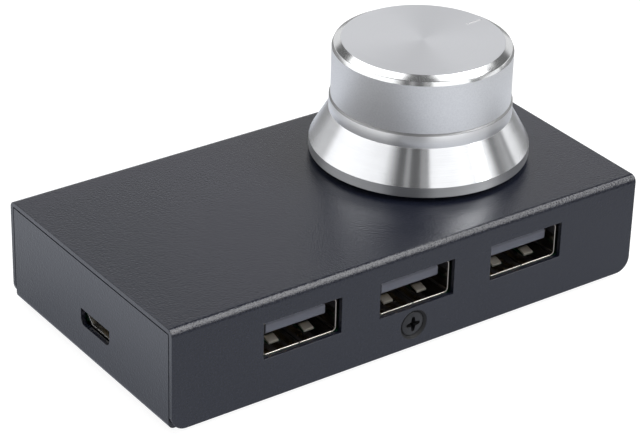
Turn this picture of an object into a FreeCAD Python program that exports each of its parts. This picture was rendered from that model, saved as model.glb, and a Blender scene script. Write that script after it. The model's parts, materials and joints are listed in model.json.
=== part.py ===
import FreeCAD, Part
import functools
import os
import re

import Sketcher

# Desk volume control: a folded steel case with three USB-A sockets in its front wall and a
# micro-USB inlet in its left end, and a turned aluminium knob on a rotary encoder whose shaft
# also presses a switch.
# Frame: millimetres, +X to the right along the case, +Y to the rear, +Z up. The origin is
# midway along and across the case, on the plane that the rubber feet stand on.

# Driving sizes, by piece. Each becomes one named cell of the sheet.
SIZES = {
    # Case of two folded sheets, with room inside past the screws, the sockets and the encoder
    "end_room": 8.0,
    "screw_room": 4.7,
    "encoder_room": 1.95,
    "lid_room": 2.1,
    "sheet": 0.8,
    "cover_bend": 1.1,
    "wall_corner": 2.4,
    "tray_bend": 1.0,
    "seam_gap": 0.15,
    "assembly_gap": 0.05,
    # Rubber feet, stuck over the standoffs' shanks
    "foot_height": 1.0,
    "foot_radius": 4.0,
    "foot_edge": 0.25,
    # Countersunk screws through the front and rear walls into the tray's tabs
    "screw_web": 0.59,
    "thread_radius": 1.25,
    "thread_gap": 0.03,
    "case_screw_length": 5.0,
    "head_overhang": 1.2,
    "head_sink": 0.3,
    "cross_length": 2.7,
    "cross_width": 0.55,
    "cross_depth": 0.7,
    "tab_width": 9.0,
    "tab_clearance": 0.25,
    "collar_wall": 0.67,
    "collar_length": 1.2,
    "screw_end_gap": 0.7,
    # Circuit board on standoffs pressed into the tray's floor
    "standoff_height": 4.4,
    "standoff_step": 0.4,
    "shank_wall": 0.82,
    "board_thickness": 1.6,
    "board_gap": 0.5,
    "board_corner": 1.0,
    "board_hole_gap": 0.25,
    "board_screw_length": 5.0,
    "pan_overhang": 1.0,
    "pan_height": 1.5,
    "pin_gap": 0.15,
    "pin_stub": 0.8,
    # USB-A sockets
    "socket_pitch": 20.65,
    "sockets_shift": 0.4,
    "shell_width": 13.2,
    "shell_height": 5.7,
    "shell_depth": 14.0,
    "shell_wall": 0.3,
    "shell_corner": 0.8,
    "shell_lift": 0.05,
    "shell_slit": 0.12,
    "opening_side_margin": 0.25,
    "opening_height_margin": 0.15,
    "opening_rise": 0.2,
    "leg_width": 1.6,
    "leg_inset": 6.6,
    "spring_width": 1.7,
    "spring_offset": 3.1,
    "spring_slit": 0.25,
    "spring_tip_inset": 2.0,
    "spring_crest_inset": 3.3,
    "spring_root_gap": 1.6,
    "spring_rise": 0.55,
    "spring_tip_drop": 0.4,
    "tongue_side_gap": 1.1,
    "tongue_thickness": 1.84,
    "tongue_drop": 0.82,
    "tongue_inset": 1.0,
    "tongue_edge": 0.3,
    "block_depth": 4.2,
    "contact_width": 1.0,
    "contact_sheet": 0.25,
    "contact_inner_offset": 1.0,
    "contact_outer_offset": 3.5,
    "contact_start": 0.9,
    "contact_bump": 0.3,
    "contact_bump_length": 2.4,
    "contact_pin_inset": 1.1,
    # Micro-USB inlet, sunk into a notch in the board's left edge
    "micro_shift": 1.75,
    "micro_width": 7.5,
    "micro_height": 2.45,
    "micro_depth": 5.6,
    "micro_wall": 0.25,
    "micro_bevel_across": 1.15,
    "micro_bevel_up": 1.25,
    "micro_headroom": 0.15,
    "micro_side_margin": 0.25,
    "micro_height_margin": 0.13,
    "micro_opening_corner": 1.0,
    "micro_notch_gap": 0.2,
    "micro_wing": 1.2,
    "micro_wing_length": 1.4,
    "micro_tongue_width": 3.7,
    "micro_tongue_thickness": 0.6,
    "micro_tongue_inset": 0.9,
    "micro_block": 1.6,
    "micro_contact_width": 0.35,
    "micro_contact_sheet": 0.15,
    "micro_contact_pitch": 0.65,
    "micro_contact_start": 0.4,
    "micro_foot": 1.3,
    # Rotary encoder on the board, its shaft standing up through the cover
    "encoder_x": 19.3,
    "encoder_y": 2.66,
    "frame_sheet": 0.4,
    "frame_lift": 0.3,
    "lug_width": 2.0,
    "switch_floor": 0.9,
    "dome_gap": 0.5,
    "dome_radius": 2.6,
    "dome_height": 0.7,
    "dome_sheet": 0.15,
    "dome_flat_radius": 0.8,
    "plunger_flange_radius": 2.2,
    "plunger_flange": 0.4,
    "plunger_boss": 0.1,
    "plunger_radius": 1.1,
    "press_gap": 0.05,
    "press_travel": 0.5,
    "base_floor": 0.6,
    "base_wall": 0.5,
    "key_hole_gap": 0.35,
    "brush_space": 0.6,
    "rotor_thickness": 0.9,
    "rotor_gap": 0.2,
    "notch_depth": 0.25,
    "notch_width": 0.5,
    "notch_length": 0.9,
    "flange_thickness": 1.0,
    "bushing_wall": 0.46,
    "shaft_gap": 0.04,
    "shaft_radius": 3.0,
    "shaft_flat": 1.5,
    "shaft_edge": 0.5,
    "collar_over_shaft": 0.5,
    "collar_thickness": 0.6,
    "collar_gap": 0.15,
    "key_radius": 1.6,
    "key_flat": 0.4,
    "detent_sheet": 0.2,
    "detent_ring": 0.5,
    "detent_clearance": 0.7,
    "detent_reach": 2.4,
    "terminal_width": 1.0,
    "terminal_sheet": 0.2,
    "terminal_pitch": 2.5,
    "terminal_out": 1.2,
    "brush_tip_inset": 3.0,
    "brush_bend_inset": 1.2,
    "switch_terminal_pitch": 4.0,
    # Washer and nut that hold the encoder's bushing to the cover
    "bushing_hole_gap": 0.2,
    "washer_radius": 6.0,
    "washer_thickness": 0.5,
    "nut_flats": 10.0,
    "nut_height": 2.0,
    "thread_spare": 1.6,
    # Turned knob, heights from the rim's underside
    "knob_gap": 0.7,
    "knob_height": 18.52,
    "rim_height": 1.72,
    "cone_spread": 2.98,
    "cone_height": 5.22,
    "neck_step": 0.23,
    "band_height": 1.99,
    "groove_width": 0.35,
    "groove_depth": 0.3,
    "barrel_radius": 14.1,
    "bevel_across": 1.38,
    "bevel_height": 0.63,
    "shoulder_across": 0.25,
    "shoulder_height": 0.64,
    "rim_edge": 0.15,
    "rim_wall": 5.2,
    "recess_depth": 3.4,
    "knob_roof": 3.2,
    "indicator_margin": 0.5,
    "indicator_length": 3.18,
    "indicator_width": 0.35,
    "indicator_depth": 0.12,
    "indicator_angle": 4.3,
    # Plastic hub inside the knob
    "hub_radius": 6.0,
    "hub_gap": 0.3,
    "tip_gap": 0.1,
    # Chips with leads on two sides
    "lead_lift": 0.1,
    "lead_sheet": 0.2,
    "hub_chip_length": 10.2,
    "hub_chip_width": 5.3,
    "hub_chip_height": 1.75,
    "hub_chip_pitch": 0.65,
    "hub_lead_width": 0.3,
    "hub_lead_reach": 1.25,
    "audio_chip_length": 9.9,
    "audio_chip_width": 3.9,
    "audio_chip_height": 1.5,
    "audio_chip_pitch": 1.27,
    "audio_lead_width": 0.42,
    "audio_lead_reach": 1.05,
    "chip_edge": 0.2,
    # Crystals, capacitors, resistors and fuses
    "crystal_length": 11.3,
    "crystal_width": 4.7,
    "crystal_height": 3.6,
    "crystal_base": 0.5,
    "crystal_rim": 0.6,
    "crystal_corner": 2.2,
    "can_radius": 2.5,
    "can_height": 5.4,
    "can_base": 5.3,
    "can_base_height": 0.8,
    "can_waist": 0.15,
    "can_waist_rise": 0.3,
    "can_waist_length": 0.6,
    "chip_part_length": 1.6,
    "chip_part_width": 0.8,
    "capacitor_height": 0.8,
    "resistor_height": 0.45,
    "fuse_length": 3.2,
    "fuse_width": 1.6,
    "fuse_height": 0.7,
    "chip_end": 0.3,
    "chip_waist": 0.04,
    # How far a cut runs past the face that it leaves through
    "overrun": 1.0,
}

# Places and sizes that follow from the driving ones
DERIVED = {
    # Case: as long and wide as the sockets, screws and encoder inside need, and as high
    "case_length": "2 * (board_screw_x + end_room)",
    "case_width": "2 * (encoder_width / 2 + encoder_room + shell_depth + seam_gap + sheet)",
    "case_height": "2 * sheet + standoff_height + board_thickness + encoder_height + lid_room",
    "inner_half_width": "case_width / 2 - sheet",
    "tray_half_width": "inner_half_width - seam_gap",
    "case_top": "foot_height + case_height",
    "floor_top": "foot_height + sheet",
    "board_low": "floor_top + standoff_height",
    "board_top": "board_low + board_thickness",
    "board_length": "case_length - 2 * sheet - 2 * board_gap",
    "board_width": "case_width - 2 * sheet - 2 * board_gap",
    "opening_width": "shell_width + 2 * opening_side_margin",
    "opening_height": "shell_height + 2 * opening_height_margin",
    "opening_middle": "board_top - foot_height + shell_lift + shell_height / 2 + opening_rise",
    "opening_low": "opening_middle - opening_height / 2",
    "dimple_radius": "thread_radius + head_overhang",
    "screw_rise": "opening_low - screw_web - dimple_radius",
    "screw_z": "foot_height + screw_rise",
    "head_radius": "dimple_radius - head_sink - assembly_gap",
    "bore_radius": "thread_radius + thread_gap",
    "collar_radius": "bore_radius + collar_wall",
    "shank_radius": "bore_radius + shank_wall",
    "standoff_radius": "shank_radius + standoff_step",
    "board_screw_hole": "thread_radius + board_hole_gap",
    "pan_radius": "thread_radius + pan_overhang",
    "tab_top": "board_top + shell_lift - tab_clearance",
    "tab_notch": "seam_gap - board_gap + case_screw_length + screw_end_gap",
    "board_screw_x": "socket_pitch + sockets_shift + shell_width / 2 + screw_room + pan_radius",
    "board_screw_y": "case_width / 2 - end_room",
    # Sockets: y runs back from the shells' front edge, z up from the board
    "socket_front": "-tray_half_width",
    "shell_top": "shell_lift + shell_height",
    "tongue_width": "shell_width - 2 * shell_wall - 2 * tongue_side_gap",
    "tongue_high": "shell_top - shell_wall - tongue_drop",
    "tongue_low": "tongue_high - tongue_thickness",
    "block_front": "shell_depth - block_depth",
    "block_back": "shell_depth - shell_wall - assembly_gap",
    "spring_root_inset": "block_front - spring_root_gap",
    "contact_pin": "shell_depth - contact_pin_inset",
    "contact_front": "tongue_inset + contact_start",
    "pin_low": "-(board_thickness + pin_stub)",
    # Inlet: x runs in from its mouth, z up from the board
    "micro_front": "-(case_length / 2 - sheet - seam_gap)",
    "micro_high": "micro_contact_sheet + micro_tongue_thickness + micro_headroom + micro_wall",
    "micro_low": "micro_high - micro_height",
    # Encoder: z runs up from the board
    "shaft_collar_radius": "shaft_radius + collar_over_shaft",
    "detent_inner": "shaft_collar_radius + detent_clearance",
    "rotor_radius": "detent_inner + detent_ring",
    "well_radius": "rotor_radius + rotor_gap",
    "encoder_width": "2 * (well_radius + base_wall + assembly_gap + frame_sheet)",
    "dome_top": "switch_floor + dome_height",
    "plunger_low": "dome_top + press_gap",
    "flange_stop": "plunger_low + plunger_boss + plunger_flange",
    "base_side": "encoder_width - 2 * frame_sheet - 2 * assembly_gap",
    "base_low": "flange_stop + press_gap",
    "base_deck": "base_low + base_floor",
    "rotor_low": "base_deck + brush_space",
    "rotor_high": "rotor_low + rotor_thickness",
    "collar_low": "rotor_high + press_travel + collar_gap",
    "collar_high": "collar_low + collar_thickness",
    "flange_low": "collar_high + press_gap",
    "flange_high": "flange_low + flange_thickness",
    "encoder_height": "flange_high + frame_sheet",
    "bushing_radius": "shaft_radius + shaft_gap + bushing_wall",
    "shaft_low": "base_deck + 2 * press_gap",
    "plunger_high": "shaft_low - press_gap",
    "bushing_top": "case_top + washer_thickness + nut_height + thread_spare",
    # Knob: z runs up from the rim's underside
    "knob_low": "case_top + knob_gap",
    "neck_radius": "barrel_radius + neck_step",
    "rim_radius": "neck_radius + cone_spread",
    "recess_radius": "rim_radius - rim_wall",
    "indicator_end": "barrel_radius - bevel_across - indicator_margin",
    "neck_low": "rim_height + cone_height",
    "groove_low": "neck_low + band_height",
    "bevel_low": "knob_height - bevel_height",
    "bore_top": "knob_height - knob_roof",
    "hub_low": "bushing_top + press_travel + hub_gap - knob_low",
    "shaft_tip": "knob_low + bore_top - tip_gap - board_top",
}

# Places on the board, as shares of its half length and half width
HUB_CHIP_SHARES = (-0.36, 0.16)
AUDIO_CHIP_SHARES = (-0.32, 0.70)
HUB_CRYSTAL_SHARES = (-0.68, 0.14)
AUDIO_CRYSTAL_SHARES = (-0.62, 0.68)
CAN_SHARES = {"left": (0.06, 0.62), "right": (0.80, 0.30)}
CAPACITOR_SHARES = (
    (-0.50, 0.43), (-0.42, 0.43), (-0.34, 0.43), (-0.26, 0.43), (-0.14, 0.66), (-0.14, 0.74),
)
RESISTOR_SHARES = (
    (-0.50, -0.07), (-0.42, -0.07), (-0.34, -0.07), (-0.26, -0.07), (0.06, 0.30),
)
FUSE_SHARES = ((-0.66, -0.2), (-0.36, -0.2), (-0.10, -0.2))

# Counts
HUB_LEAD_COUNT = 14
AUDIO_LEAD_COUNT = 8
DETENT_COUNT = 20
MICRO_CONTACT_COUNT = 5
SOCKETS = {"left": -1, "middle": 0, "right": 1}
NAME = re.compile(r"[a-z][a-z_]*")
AXIS_TURNS = {
    "X": FreeCAD.Rotation(FreeCAD.Vector(0, 1, 0), 90),
    "Y": FreeCAD.Rotation(FreeCAD.Vector(1, 0, 0), -90),
    "Z": FreeCAD.Rotation(),
}

DOC = FreeCAD.newDocument("VolumeControl")
SHEET = DOC.addObject("Spreadsheet::Sheet", "Sizes")
PARTS = []


def fill_sheet():
    """Write every driving size into the sheet: its name, its number and its alias."""
    for row, (name, number) in enumerate(SIZES.items(), 1):
        SHEET.set(f"A{row}", name)
        SHEET.set(f"B{row}", str(number))
        SHEET.setAlias(f"B{row}", name)
    DOC.recompute()


@functools.lru_cache(maxsize=None)
def bound(text):
    """The sheet's expression for a text of size names, with derived names spelled out."""
    def spell(match):
        name = match.group()
        if name in DERIVED:
            return "(" + bound(DERIVED[name]) + ")"
        if name in SIZES:
            return "Sizes." + name
        return name
    return NAME.sub(spell, text)


@functools.lru_cache(maxsize=None)
def value(text):
    """The present number of a text of size names."""
    return float(SHEET.evalExpression(bound(text)))


def bind(thing, **sizes):
    """Tie properties of an object to texts of size names."""
    for name, text in sizes.items():
        thing.setExpression(name, bound(text))


def place(thing, x="0", y="0", z="0"):
    """Tie an object's position to texts of size names."""
    for axis, text in zip("xyz", (x, y, z)):
        thing.setExpression(f"Placement.Base.{axis}", bound(text))


def origin_item(body, role):
    """One of the body's own origin planes or axes."""
    return next(item for item in body.Origin.OriginFeatures if item.Role == role)


def new_body(label, kept=True):
    """A body with its own label; kept ones are pieces, the others members of a group."""
    body = DOC.addObject("PartDesign::Body", label)
    body.Label = label
    if kept:
        PARTS.append(body)
    return body


def group(label, members):
    """One piece of several separate solids."""
    compound = DOC.addObject("Part::Compound", label)
    compound.Label = label
    compound.Links = members
    PARTS.append(compound)
    return compound


def block(body, cut, size, centre, low):
    """A box added to the body or cut from it, centred in plan, with its underside at low."""
    kind = "SubtractiveBox" if cut else "AdditiveBox"
    box = body.newObject("PartDesign::" + kind, "Block")
    bind(box, Length=size[0], Width=size[1], Height=size[2])
    place(box, f"{centre[0]} - ({size[0]}) / 2", f"{centre[1]} - ({size[1]}) / 2", low)
    return box


def rod(body, cut, radius, length, foot, axis="Z"):
    """A cylinder added to the body or cut from it, along an axis from the centre of its foot."""
    kind = "SubtractiveCylinder" if cut else "AdditiveCylinder"
    cylinder = body.newObject("PartDesign::" + kind, "Rod")
    cylinder.Placement = FreeCAD.Placement(FreeCAD.Vector(), AXIS_TURNS[axis])
    bind(cylinder, Radius=radius, Height=length)
    place(cylinder, *foot)
    return cylinder


def unit_step(start, end):
    """The direction from one point to another along a side that is square to the axes."""
    return tuple((e > s) - (e < s) for s, e in zip(start, end))


def cornered(corners):
    """An outline's points and arcs, from corners (across, up) or, where square, (across, up, radius).

    Gives a list of stretches, each a start point, an end point and an arc's radius or None.
    """
    count = len(corners)
    spots = [(value(corner[0]), value(corner[1])) for corner in corners]
    ways = []
    for i, corner in enumerate(corners):
        if len(corner) == 2:
            ways.append((corner, corner, None))
            continue
        back = unit_step(spots[i], spots[i - 1])
        ahead = unit_step(spots[i], spots[(i + 1) % count])
        ends = []
        for step in (back, ahead):
            ends.append(tuple(f"{corner[k]} + ({step[k]}) * ({corner[2]})" for k in (0, 1)))
        ways.append((ends[0], ends[1], corner[2]))
    stretches = []
    for i, (arrive, leave, radius) in enumerate(ways):
        if radius is not None:
            stretches.append((arrive, leave, radius))
        stretches.append((leave, ways[(i + 1) % count][0], None))
    return stretches


def arc_between(start, end, radius, inside):
    """A quarter arc between two points, its centre on the same side as the point inside."""
    middle = (start + end) / 2
    half = (end - start) / 2
    reach = (radius ** 2 - half.Length ** 2) ** 0.5 if radius > half.Length else 0.0
    normal = FreeCAD.Vector(-half.y, half.x, 0).normalize()
    centres = [middle + normal * reach, middle - normal * reach]
    centre = min(centres, key=lambda spot: (spot - inside).Length)
    outward = (middle - centre).normalize()
    return Part.Arc(start, centre + outward * radius, end)


def outline(body, plane, corners):
    """A closed sketch on one of the body's planes, each point and radius tied to the sheet."""
    sketch = body.newObject("Sketcher::SketchObject", "Outline")
    sketch.AttachmentSupport = [(origin_item(body, plane), "")]
    sketch.MapMode = "FlatFace"
    stretches = cornered(corners)
    ends = []
    for index, (start, end, radius) in enumerate(stretches):
        first = FreeCAD.Vector(value(start[0]), value(start[1]), 0)
        last = FreeCAD.Vector(value(end[0]), value(end[1]), 0)
        if radius is None:
            sketch.addGeometry(Part.LineSegment(first, last), False)
            ends.append((1, 2))
            continue
        before = stretches[index - 1][0]
        after = stretches[(index + 1) % len(stretches)][1]
        across, up = (value(before[k]) + value(after[k]) for k in (0, 1))
        inside = FreeCAD.Vector(across, up, 0) / 2
        sketch.addGeometry(arc_between(first, last, value(radius), inside), False)
        start_point = sketch.getPoint(index, 1)
        ends.append((1, 2) if (start_point - first).Length < (start_point - last).Length else (2, 1))
    for index, (start, _, radius) in enumerate(stretches):
        following = (index + 1) % len(stretches)
        join = Sketcher.Constraint("Coincident", index, ends[index][1], following, ends[following][0])
        sketch.addConstraint(join)
        for kind, text in (("DistanceX", start[0]), ("DistanceY", start[1])):
            reach = Sketcher.Constraint(kind, -1, 1, index, ends[index][0], value(text))
            number = sketch.addConstraint(reach)
            sketch.setExpression(f"Constraints[{number}]", bound(text))
        if radius is not None:
            number = sketch.addConstraint(Sketcher.Constraint("Radius", index, value(radius)))
            sketch.setExpression(f"Constraints[{number}]", bound(radius))
    return sketch


def pad(body, plane, corners, length):
    """An outline thickened evenly to both sides of its plane."""
    feature = body.newObject("PartDesign::Pad", "Pad")
    feature.Profile = outline(body, plane, corners)
    feature.SideType = "Symmetric"
    bind(feature, Length=length)
    return feature


def slab(body, plane, corners, length):
    """An outline thickened to the side that its plane faces."""
    feature = body.newObject("PartDesign::Pad", "Slab")
    feature.Profile = outline(body, plane, corners)
    bind(feature, Length=length)
    return feature


def turned(body, corners, cut=False):
    """An outline of (radius, height) corners turned about the body's own Z axis."""
    kind = "Groove" if cut else "Revolution"
    feature = body.newObject("PartDesign::" + kind, kind)
    sketch = outline(body, "XZ_Plane", corners)
    feature.Profile = sketch
    feature.ReferenceAxis = (sketch, ["V_Axis"])
    feature.Angle = 360
    return feature


def row(body, features, axis, pitch, count):
    """Repeats of features at an even pitch along one of the body's axes."""
    pattern = body.newObject("PartDesign::LinearPattern", "Row")
    pattern.Originals = features
    pattern.Direction = (origin_item(body, axis), [""])
    pattern.Occurrences = count
    bind(pattern, Length=f"({pitch}) * {count - 1}")
    body.Tip = pattern
    return pattern


def ring_of(body, feature, count):
    """Repeats of a feature evenly round the body's Z axis."""
    pattern = body.newObject("PartDesign::PolarPattern", "Ring")
    pattern.Originals = [feature]
    pattern.Axis = (origin_item(body, "Z_Axis"), [""])
    pattern.Angle = 360
    pattern.Occurrences = count
    body.Tip = pattern
    return pattern


def edges_along(shape, direction, test):
    """Names of the straight edges along a direction whose middle passes the test."""
    names = []
    for number, edge in enumerate(shape.Edges, 1):
        if not isinstance(edge.Curve, Part.Line):
            continue
        middle = edge.CenterOfMass
        if abs(abs(edge.Curve.Direction.dot(direction)) - 1) < 1e-6 and test(middle):
            names.append(f"Edge{number}")
    return names


def round_edges(body, base, names, radius):
    """A fillet on named edges of a feature."""
    fillet = body.newObject("PartDesign::Fillet", "Fillet")
    fillet.Base = (base, names)
    bind(fillet, Radius=radius)
    return fillet


def top_cover():
    """The upper sheet: a channel of top, front and rear wall with the sockets' openings."""
    body = new_body("top_cover")
    outer, inner = "case_width / 2", "inner_half_width"
    high, under = "case_height", "case_height - sheet"
    channel = pad(body, "YZ_Plane", [
        (f"-{outer}", "0"), (f"-({inner})", "0"),
        (f"-({inner})", under, "cover_bend - sheet"), (inner, under, "cover_bend - sheet"),
        (inner, "0"), (outer, "0"),
        (outer, high, "cover_bend"), (f"-{outer}", high, "cover_bend"),
    ], "case_length")
    DOC.recompute()
    low_ends = edges_along(channel.Shape, FreeCAD.Vector(0, 1, 0), lambda spot: spot.z < value("sheet") / 2)
    round_edges(body, channel, low_ends, "wall_corner")
    first = block(body, True, ("opening_width", "2 * sheet + 2 * overrun", "opening_height"),
                  ("sockets_shift - socket_pitch", "-case_width / 2"), "opening_low")
    row(body, [first], "X_Axis", "socket_pitch", len(SOCKETS))
    for side in (-1, 1):
        cone = body.newObject("PartDesign::SubtractiveCone", "Countersink")
        turn = FreeCAD.Rotation(FreeCAD.Vector(1, 0, 0), 90 * side)
        cone.Placement = FreeCAD.Placement(FreeCAD.Vector(), turn)
        depth = "sheet + assembly_gap"
        bind(cone, Radius1="dimple_radius", Radius2=f"dimple_radius - ({depth})", Height=depth)
        place(cone, "0", f"{side} * case_width / 2", "screw_rise")
    rod(body, True, "bushing_radius + bushing_hole_gap", "sheet + 2 * overrun",
        ("encoder_x", "encoder_y", "case_height - sheet - overrun"))
    place(body, "0", "0", "foot_height")


def bottom_tray():
    """The lower sheet: a floor with both end plates and the two screw tabs."""
    body = new_body("bottom_tray")
    end, inside = "case_length / 2", "case_length / 2 - sheet"
    high = "case_height - sheet - seam_gap"
    pad(body, "XZ_Plane", [
        (f"-{end}", high), (f"-({end})", "0", "tray_bend"), (end, "0", "tray_bend"), (end, high),
        (inside, high), (inside, "sheet", "tray_bend / 2"), (f"-({inside})", "sheet", "tray_bend / 2"),
        (f"-({inside})", high),
    ], "2 * (tray_half_width)")
    for side in (-1, 1):
        block(body, False, ("tab_width", "sheet", "tab_top - foot_height"),
              ("0", f"{side} * (tray_half_width - sheet / 2)"), "0")
        collar_start = f"{side} * (tray_half_width - sheet)"
        length = "collar_length"
        foot = collar_start if side < 0 else f"{collar_start} - {length}"
        rod(body, False, "collar_radius", length, ("0", foot, "screw_rise"), "Y")
        whole = "sheet + collar_length + 2 * overrun"
        foot = f"{side} * tray_half_width"
        foot = f"{foot} - overrun" if side < 0 else f"{foot} + overrun - ({whole})"
        rod(body, True, "bore_radius", whole, ("0", foot, "screw_rise"), "Y")
        cone = body.newObject("PartDesign::SubtractiveCone", "Relief")
        turn = FreeCAD.Rotation(FreeCAD.Vector(1, 0, 0), 90 * side)
        cone.Placement = FreeCAD.Placement(FreeCAD.Vector(), turn)
        mouth = "dimple_radius - sheet - seam_gap + 2 * assembly_gap"
        bind(cone, Radius1=mouth, Radius2="bore_radius", Height=f"{mouth} - bore_radius")
        place(cone, "0", f"{side} * tray_half_width", "screw_rise")
    for x_side in (-1, 1):
        for y_side in (-1, 1):
            rod(body, True, "shank_radius + assembly_gap", "sheet + 2 * overrun",
                (f"{x_side} * board_screw_x", f"{y_side} * board_screw_y", "-overrun"))
    inlet = body.newObject("PartDesign::Pocket", "Inlet")
    reach = "(micro_width / 2 + micro_side_margin)"
    low = "board_top - foot_height + micro_low - micro_height_margin"
    high = "board_top - foot_height + micro_high + micro_height_margin"
    inlet.Profile = outline(body, "YZ_Plane", [
        (f"-micro_shift - {reach}", high), (f"-micro_shift - {reach}", low, "micro_opening_corner"),
        (f"-micro_shift + {reach}", low, "micro_opening_corner"), (f"-micro_shift + {reach}", high),
    ])
    bind(inlet, Length="case_length / 2 + overrun")
    place(body, "0", "0", "foot_height")


def micro_outline(margin):
    """The inlet's outline, wide side up with bevelled lower corners, let out by a margin."""
    half = f"(micro_width / 2 + {margin})"
    high, low = f"micro_high + {margin}", f"micro_low - ({margin})"
    return [
        (f"-{half}", high), (f"-{half}", f"{low} + micro_bevel_up"),
        (f"-{half} + micro_bevel_across", low), (f"{half} - micro_bevel_across", low),
        (half, f"{low} + micro_bevel_up"), (half, high),
    ]


def feet():
    """Four round rubber feet under the tray."""
    for y_name, y_side in (("front", -1), ("rear", 1)):
        for x_name, x_side in (("left", -1), ("right", 1)):
            body = new_body(f"foot_{y_name}_{x_name}")
            turned(body, [
                ("0", "0"), ("foot_radius - foot_edge", "0"), ("foot_radius", "foot_edge"),
                ("foot_radius", "foot_height"), ("0", "foot_height"),
            ])
            place(body, f"{x_side} * board_screw_x", f"{y_side} * board_screw_y")


def case_screws():
    """A countersunk cross-head screw in the front wall and one in the rear wall."""
    members = []
    for name, side in (("front", -1), ("rear", 1)):
        body = new_body(f"case_screw_{name}", kept=False)
        turned(body, [
            ("0", "0"), ("thread_radius", "0"),
            ("thread_radius", "case_screw_length - head_radius + thread_radius"),
            ("head_radius", "case_screw_length"), ("0", "case_screw_length"),
        ])
        cut_low = "case_screw_length - cross_depth"
        block(body, True, ("cross_length", "cross_width", "cross_depth + overrun"), ("0", "0"), cut_low)
        block(body, True, ("cross_width", "cross_length", "cross_depth + overrun"), ("0", "0"), cut_low)
        turn = FreeCAD.Rotation(FreeCAD.Vector(1, 0, 0), -90 * side)
        body.Placement = FreeCAD.Placement(FreeCAD.Vector(), turn)
        place(body, "0", f"{side} * (case_width / 2 - head_sink - case_screw_length)", "screw_z")
        members.append(body)
    group("case_screws", members)


def board_fasteners():
    """The standoffs pressed into the tray's floor and the pan-head screws into them."""
    standoffs, screws = [], []
    for x_name, x_side in (("left", -1), ("right", 1)):
        for y_name, y_side in (("front", -1), ("rear", 1)):
            spot = (f"{x_side} * board_screw_x", f"{y_side} * board_screw_y")
            post = new_body(f"standoff_{y_name}_{x_name}", kept=False)
            turned(post, [
                ("0", "0"), ("shank_radius", "0"), ("shank_radius", "sheet"), ("standoff_radius", "sheet"),
                ("standoff_radius", "sheet + standoff_height"), ("0", "sheet + standoff_height"),
            ])
            bore_low = "sheet + standoff_height + board_thickness - board_screw_length - screw_end_gap / 2"
            rod(post, True, "bore_radius", "board_screw_length + overrun", ("0", "0", bore_low))
            place(post, *spot, "foot_height")
            standoffs.append(post)
            screw = new_body(f"board_screw_{y_name}_{x_name}", kept=False)
            turned(screw, [
                ("0", "-board_screw_length"), ("thread_radius", "-board_screw_length"),
                ("thread_radius", "0"), ("pan_radius", "0"), ("pan_radius", "pan_height / 2"),
                ("pan_radius - pan_height / 2", "pan_height"), ("0", "pan_height"),
            ])
            cut = ("cross_length", "cross_width", "cross_depth + overrun")
            block(screw, True, cut, ("0", "0"), "pan_height - cross_depth")
            block(screw, True, (cut[1], cut[0], cut[2]), ("0", "0"), "pan_height - cross_depth")
            place(screw, *spot, "board_top")
            screws.append(screw)
    group("board_standoffs", standoffs)
    group("board_screws", screws)


def rounded_box(x, y, corner):
    """Corners of a rectangle round the origin from its half sizes, each rounded."""
    return [(f"-{x}", f"-{y}", corner), (x, f"-{y}", corner), (x, y, corner), (f"-{x}", y, corner)]


def circuit_board():
    """The board, notched round the screw tabs and the inlet, drilled for screws and pins."""
    body = new_body("circuit_board")
    x, y = "board_length / 2", "board_width / 2"
    slab(body, "XY_Plane", rounded_box(x, y, "board_corner"), "board_thickness")
    through = "board_thickness + 2 * overrun"
    notch = ("tab_width + 2 * board_gap", "2 * tab_notch", through)
    for side in (-1, 1):
        block(body, True, notch, ("0", f"{side} * {y}"), "-overrun")
        for x_side in (-1, 1):
            spot = (f"{x_side} * board_screw_x", f"{side} * board_screw_y", "-overrun")
            rod(body, True, "board_screw_hole", through, spot)
    reach = "2 * (micro_front + micro_depth + micro_notch_gap + board_length / 2)"
    notch = (reach, "micro_width + 2 * micro_notch_gap", through)
    block(body, True, notch, (f"-{x}", "-micro_shift"), "-overrun")
    holes = []
    first = "(sockets_shift - socket_pitch)"
    for side in (-1, 1):
        for offset in ("contact_inner_offset", "contact_outer_offset"):
            y = "socket_front + contact_pin - contact_sheet / 2"
            spot = (f"{first} + {side} * {offset}", y, "-overrun")
            holes.append(rod(body, True, "contact_width / 2 + pin_gap", through, spot))
        slot = ("shell_wall + 2 * pin_gap", "leg_width + 2 * pin_gap", through)
        leg_x = f"{first} + {side} * (shell_width - shell_wall) / 2"
        holes.append(block(body, True, slot, (leg_x, "socket_front + leg_inset"), "-overrun"))
    row(body, holes, "X_Axis", "socket_pitch", len(SOCKETS))
    terminal_x = "base_side / 2 + terminal_out - terminal_sheet / 2"
    for side in (-1, 1):
        slot = ("lug_width + 2 * pin_gap", "frame_sheet + 2 * pin_gap", through)
        slot_y = f"encoder_y + {side} * (encoder_width - frame_sheet) / 2"
        block(body, True, slot, ("encoder_x", slot_y), "-overrun")
        spot = (f"encoder_x + {terminal_x}", f"encoder_y + {side} * switch_terminal_pitch / 2", "-overrun")
        rod(body, True, "terminal_width / 2 + pin_gap", through, spot)
    for index in (-1, 0, 1):
        spot = (f"encoder_x - ({terminal_x})", f"encoder_y + {index} * terminal_pitch", "-overrun")
        rod(body, True, "terminal_width / 2 + pin_gap", through, spot)
    place(body, "0", "0", "board_low")


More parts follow.
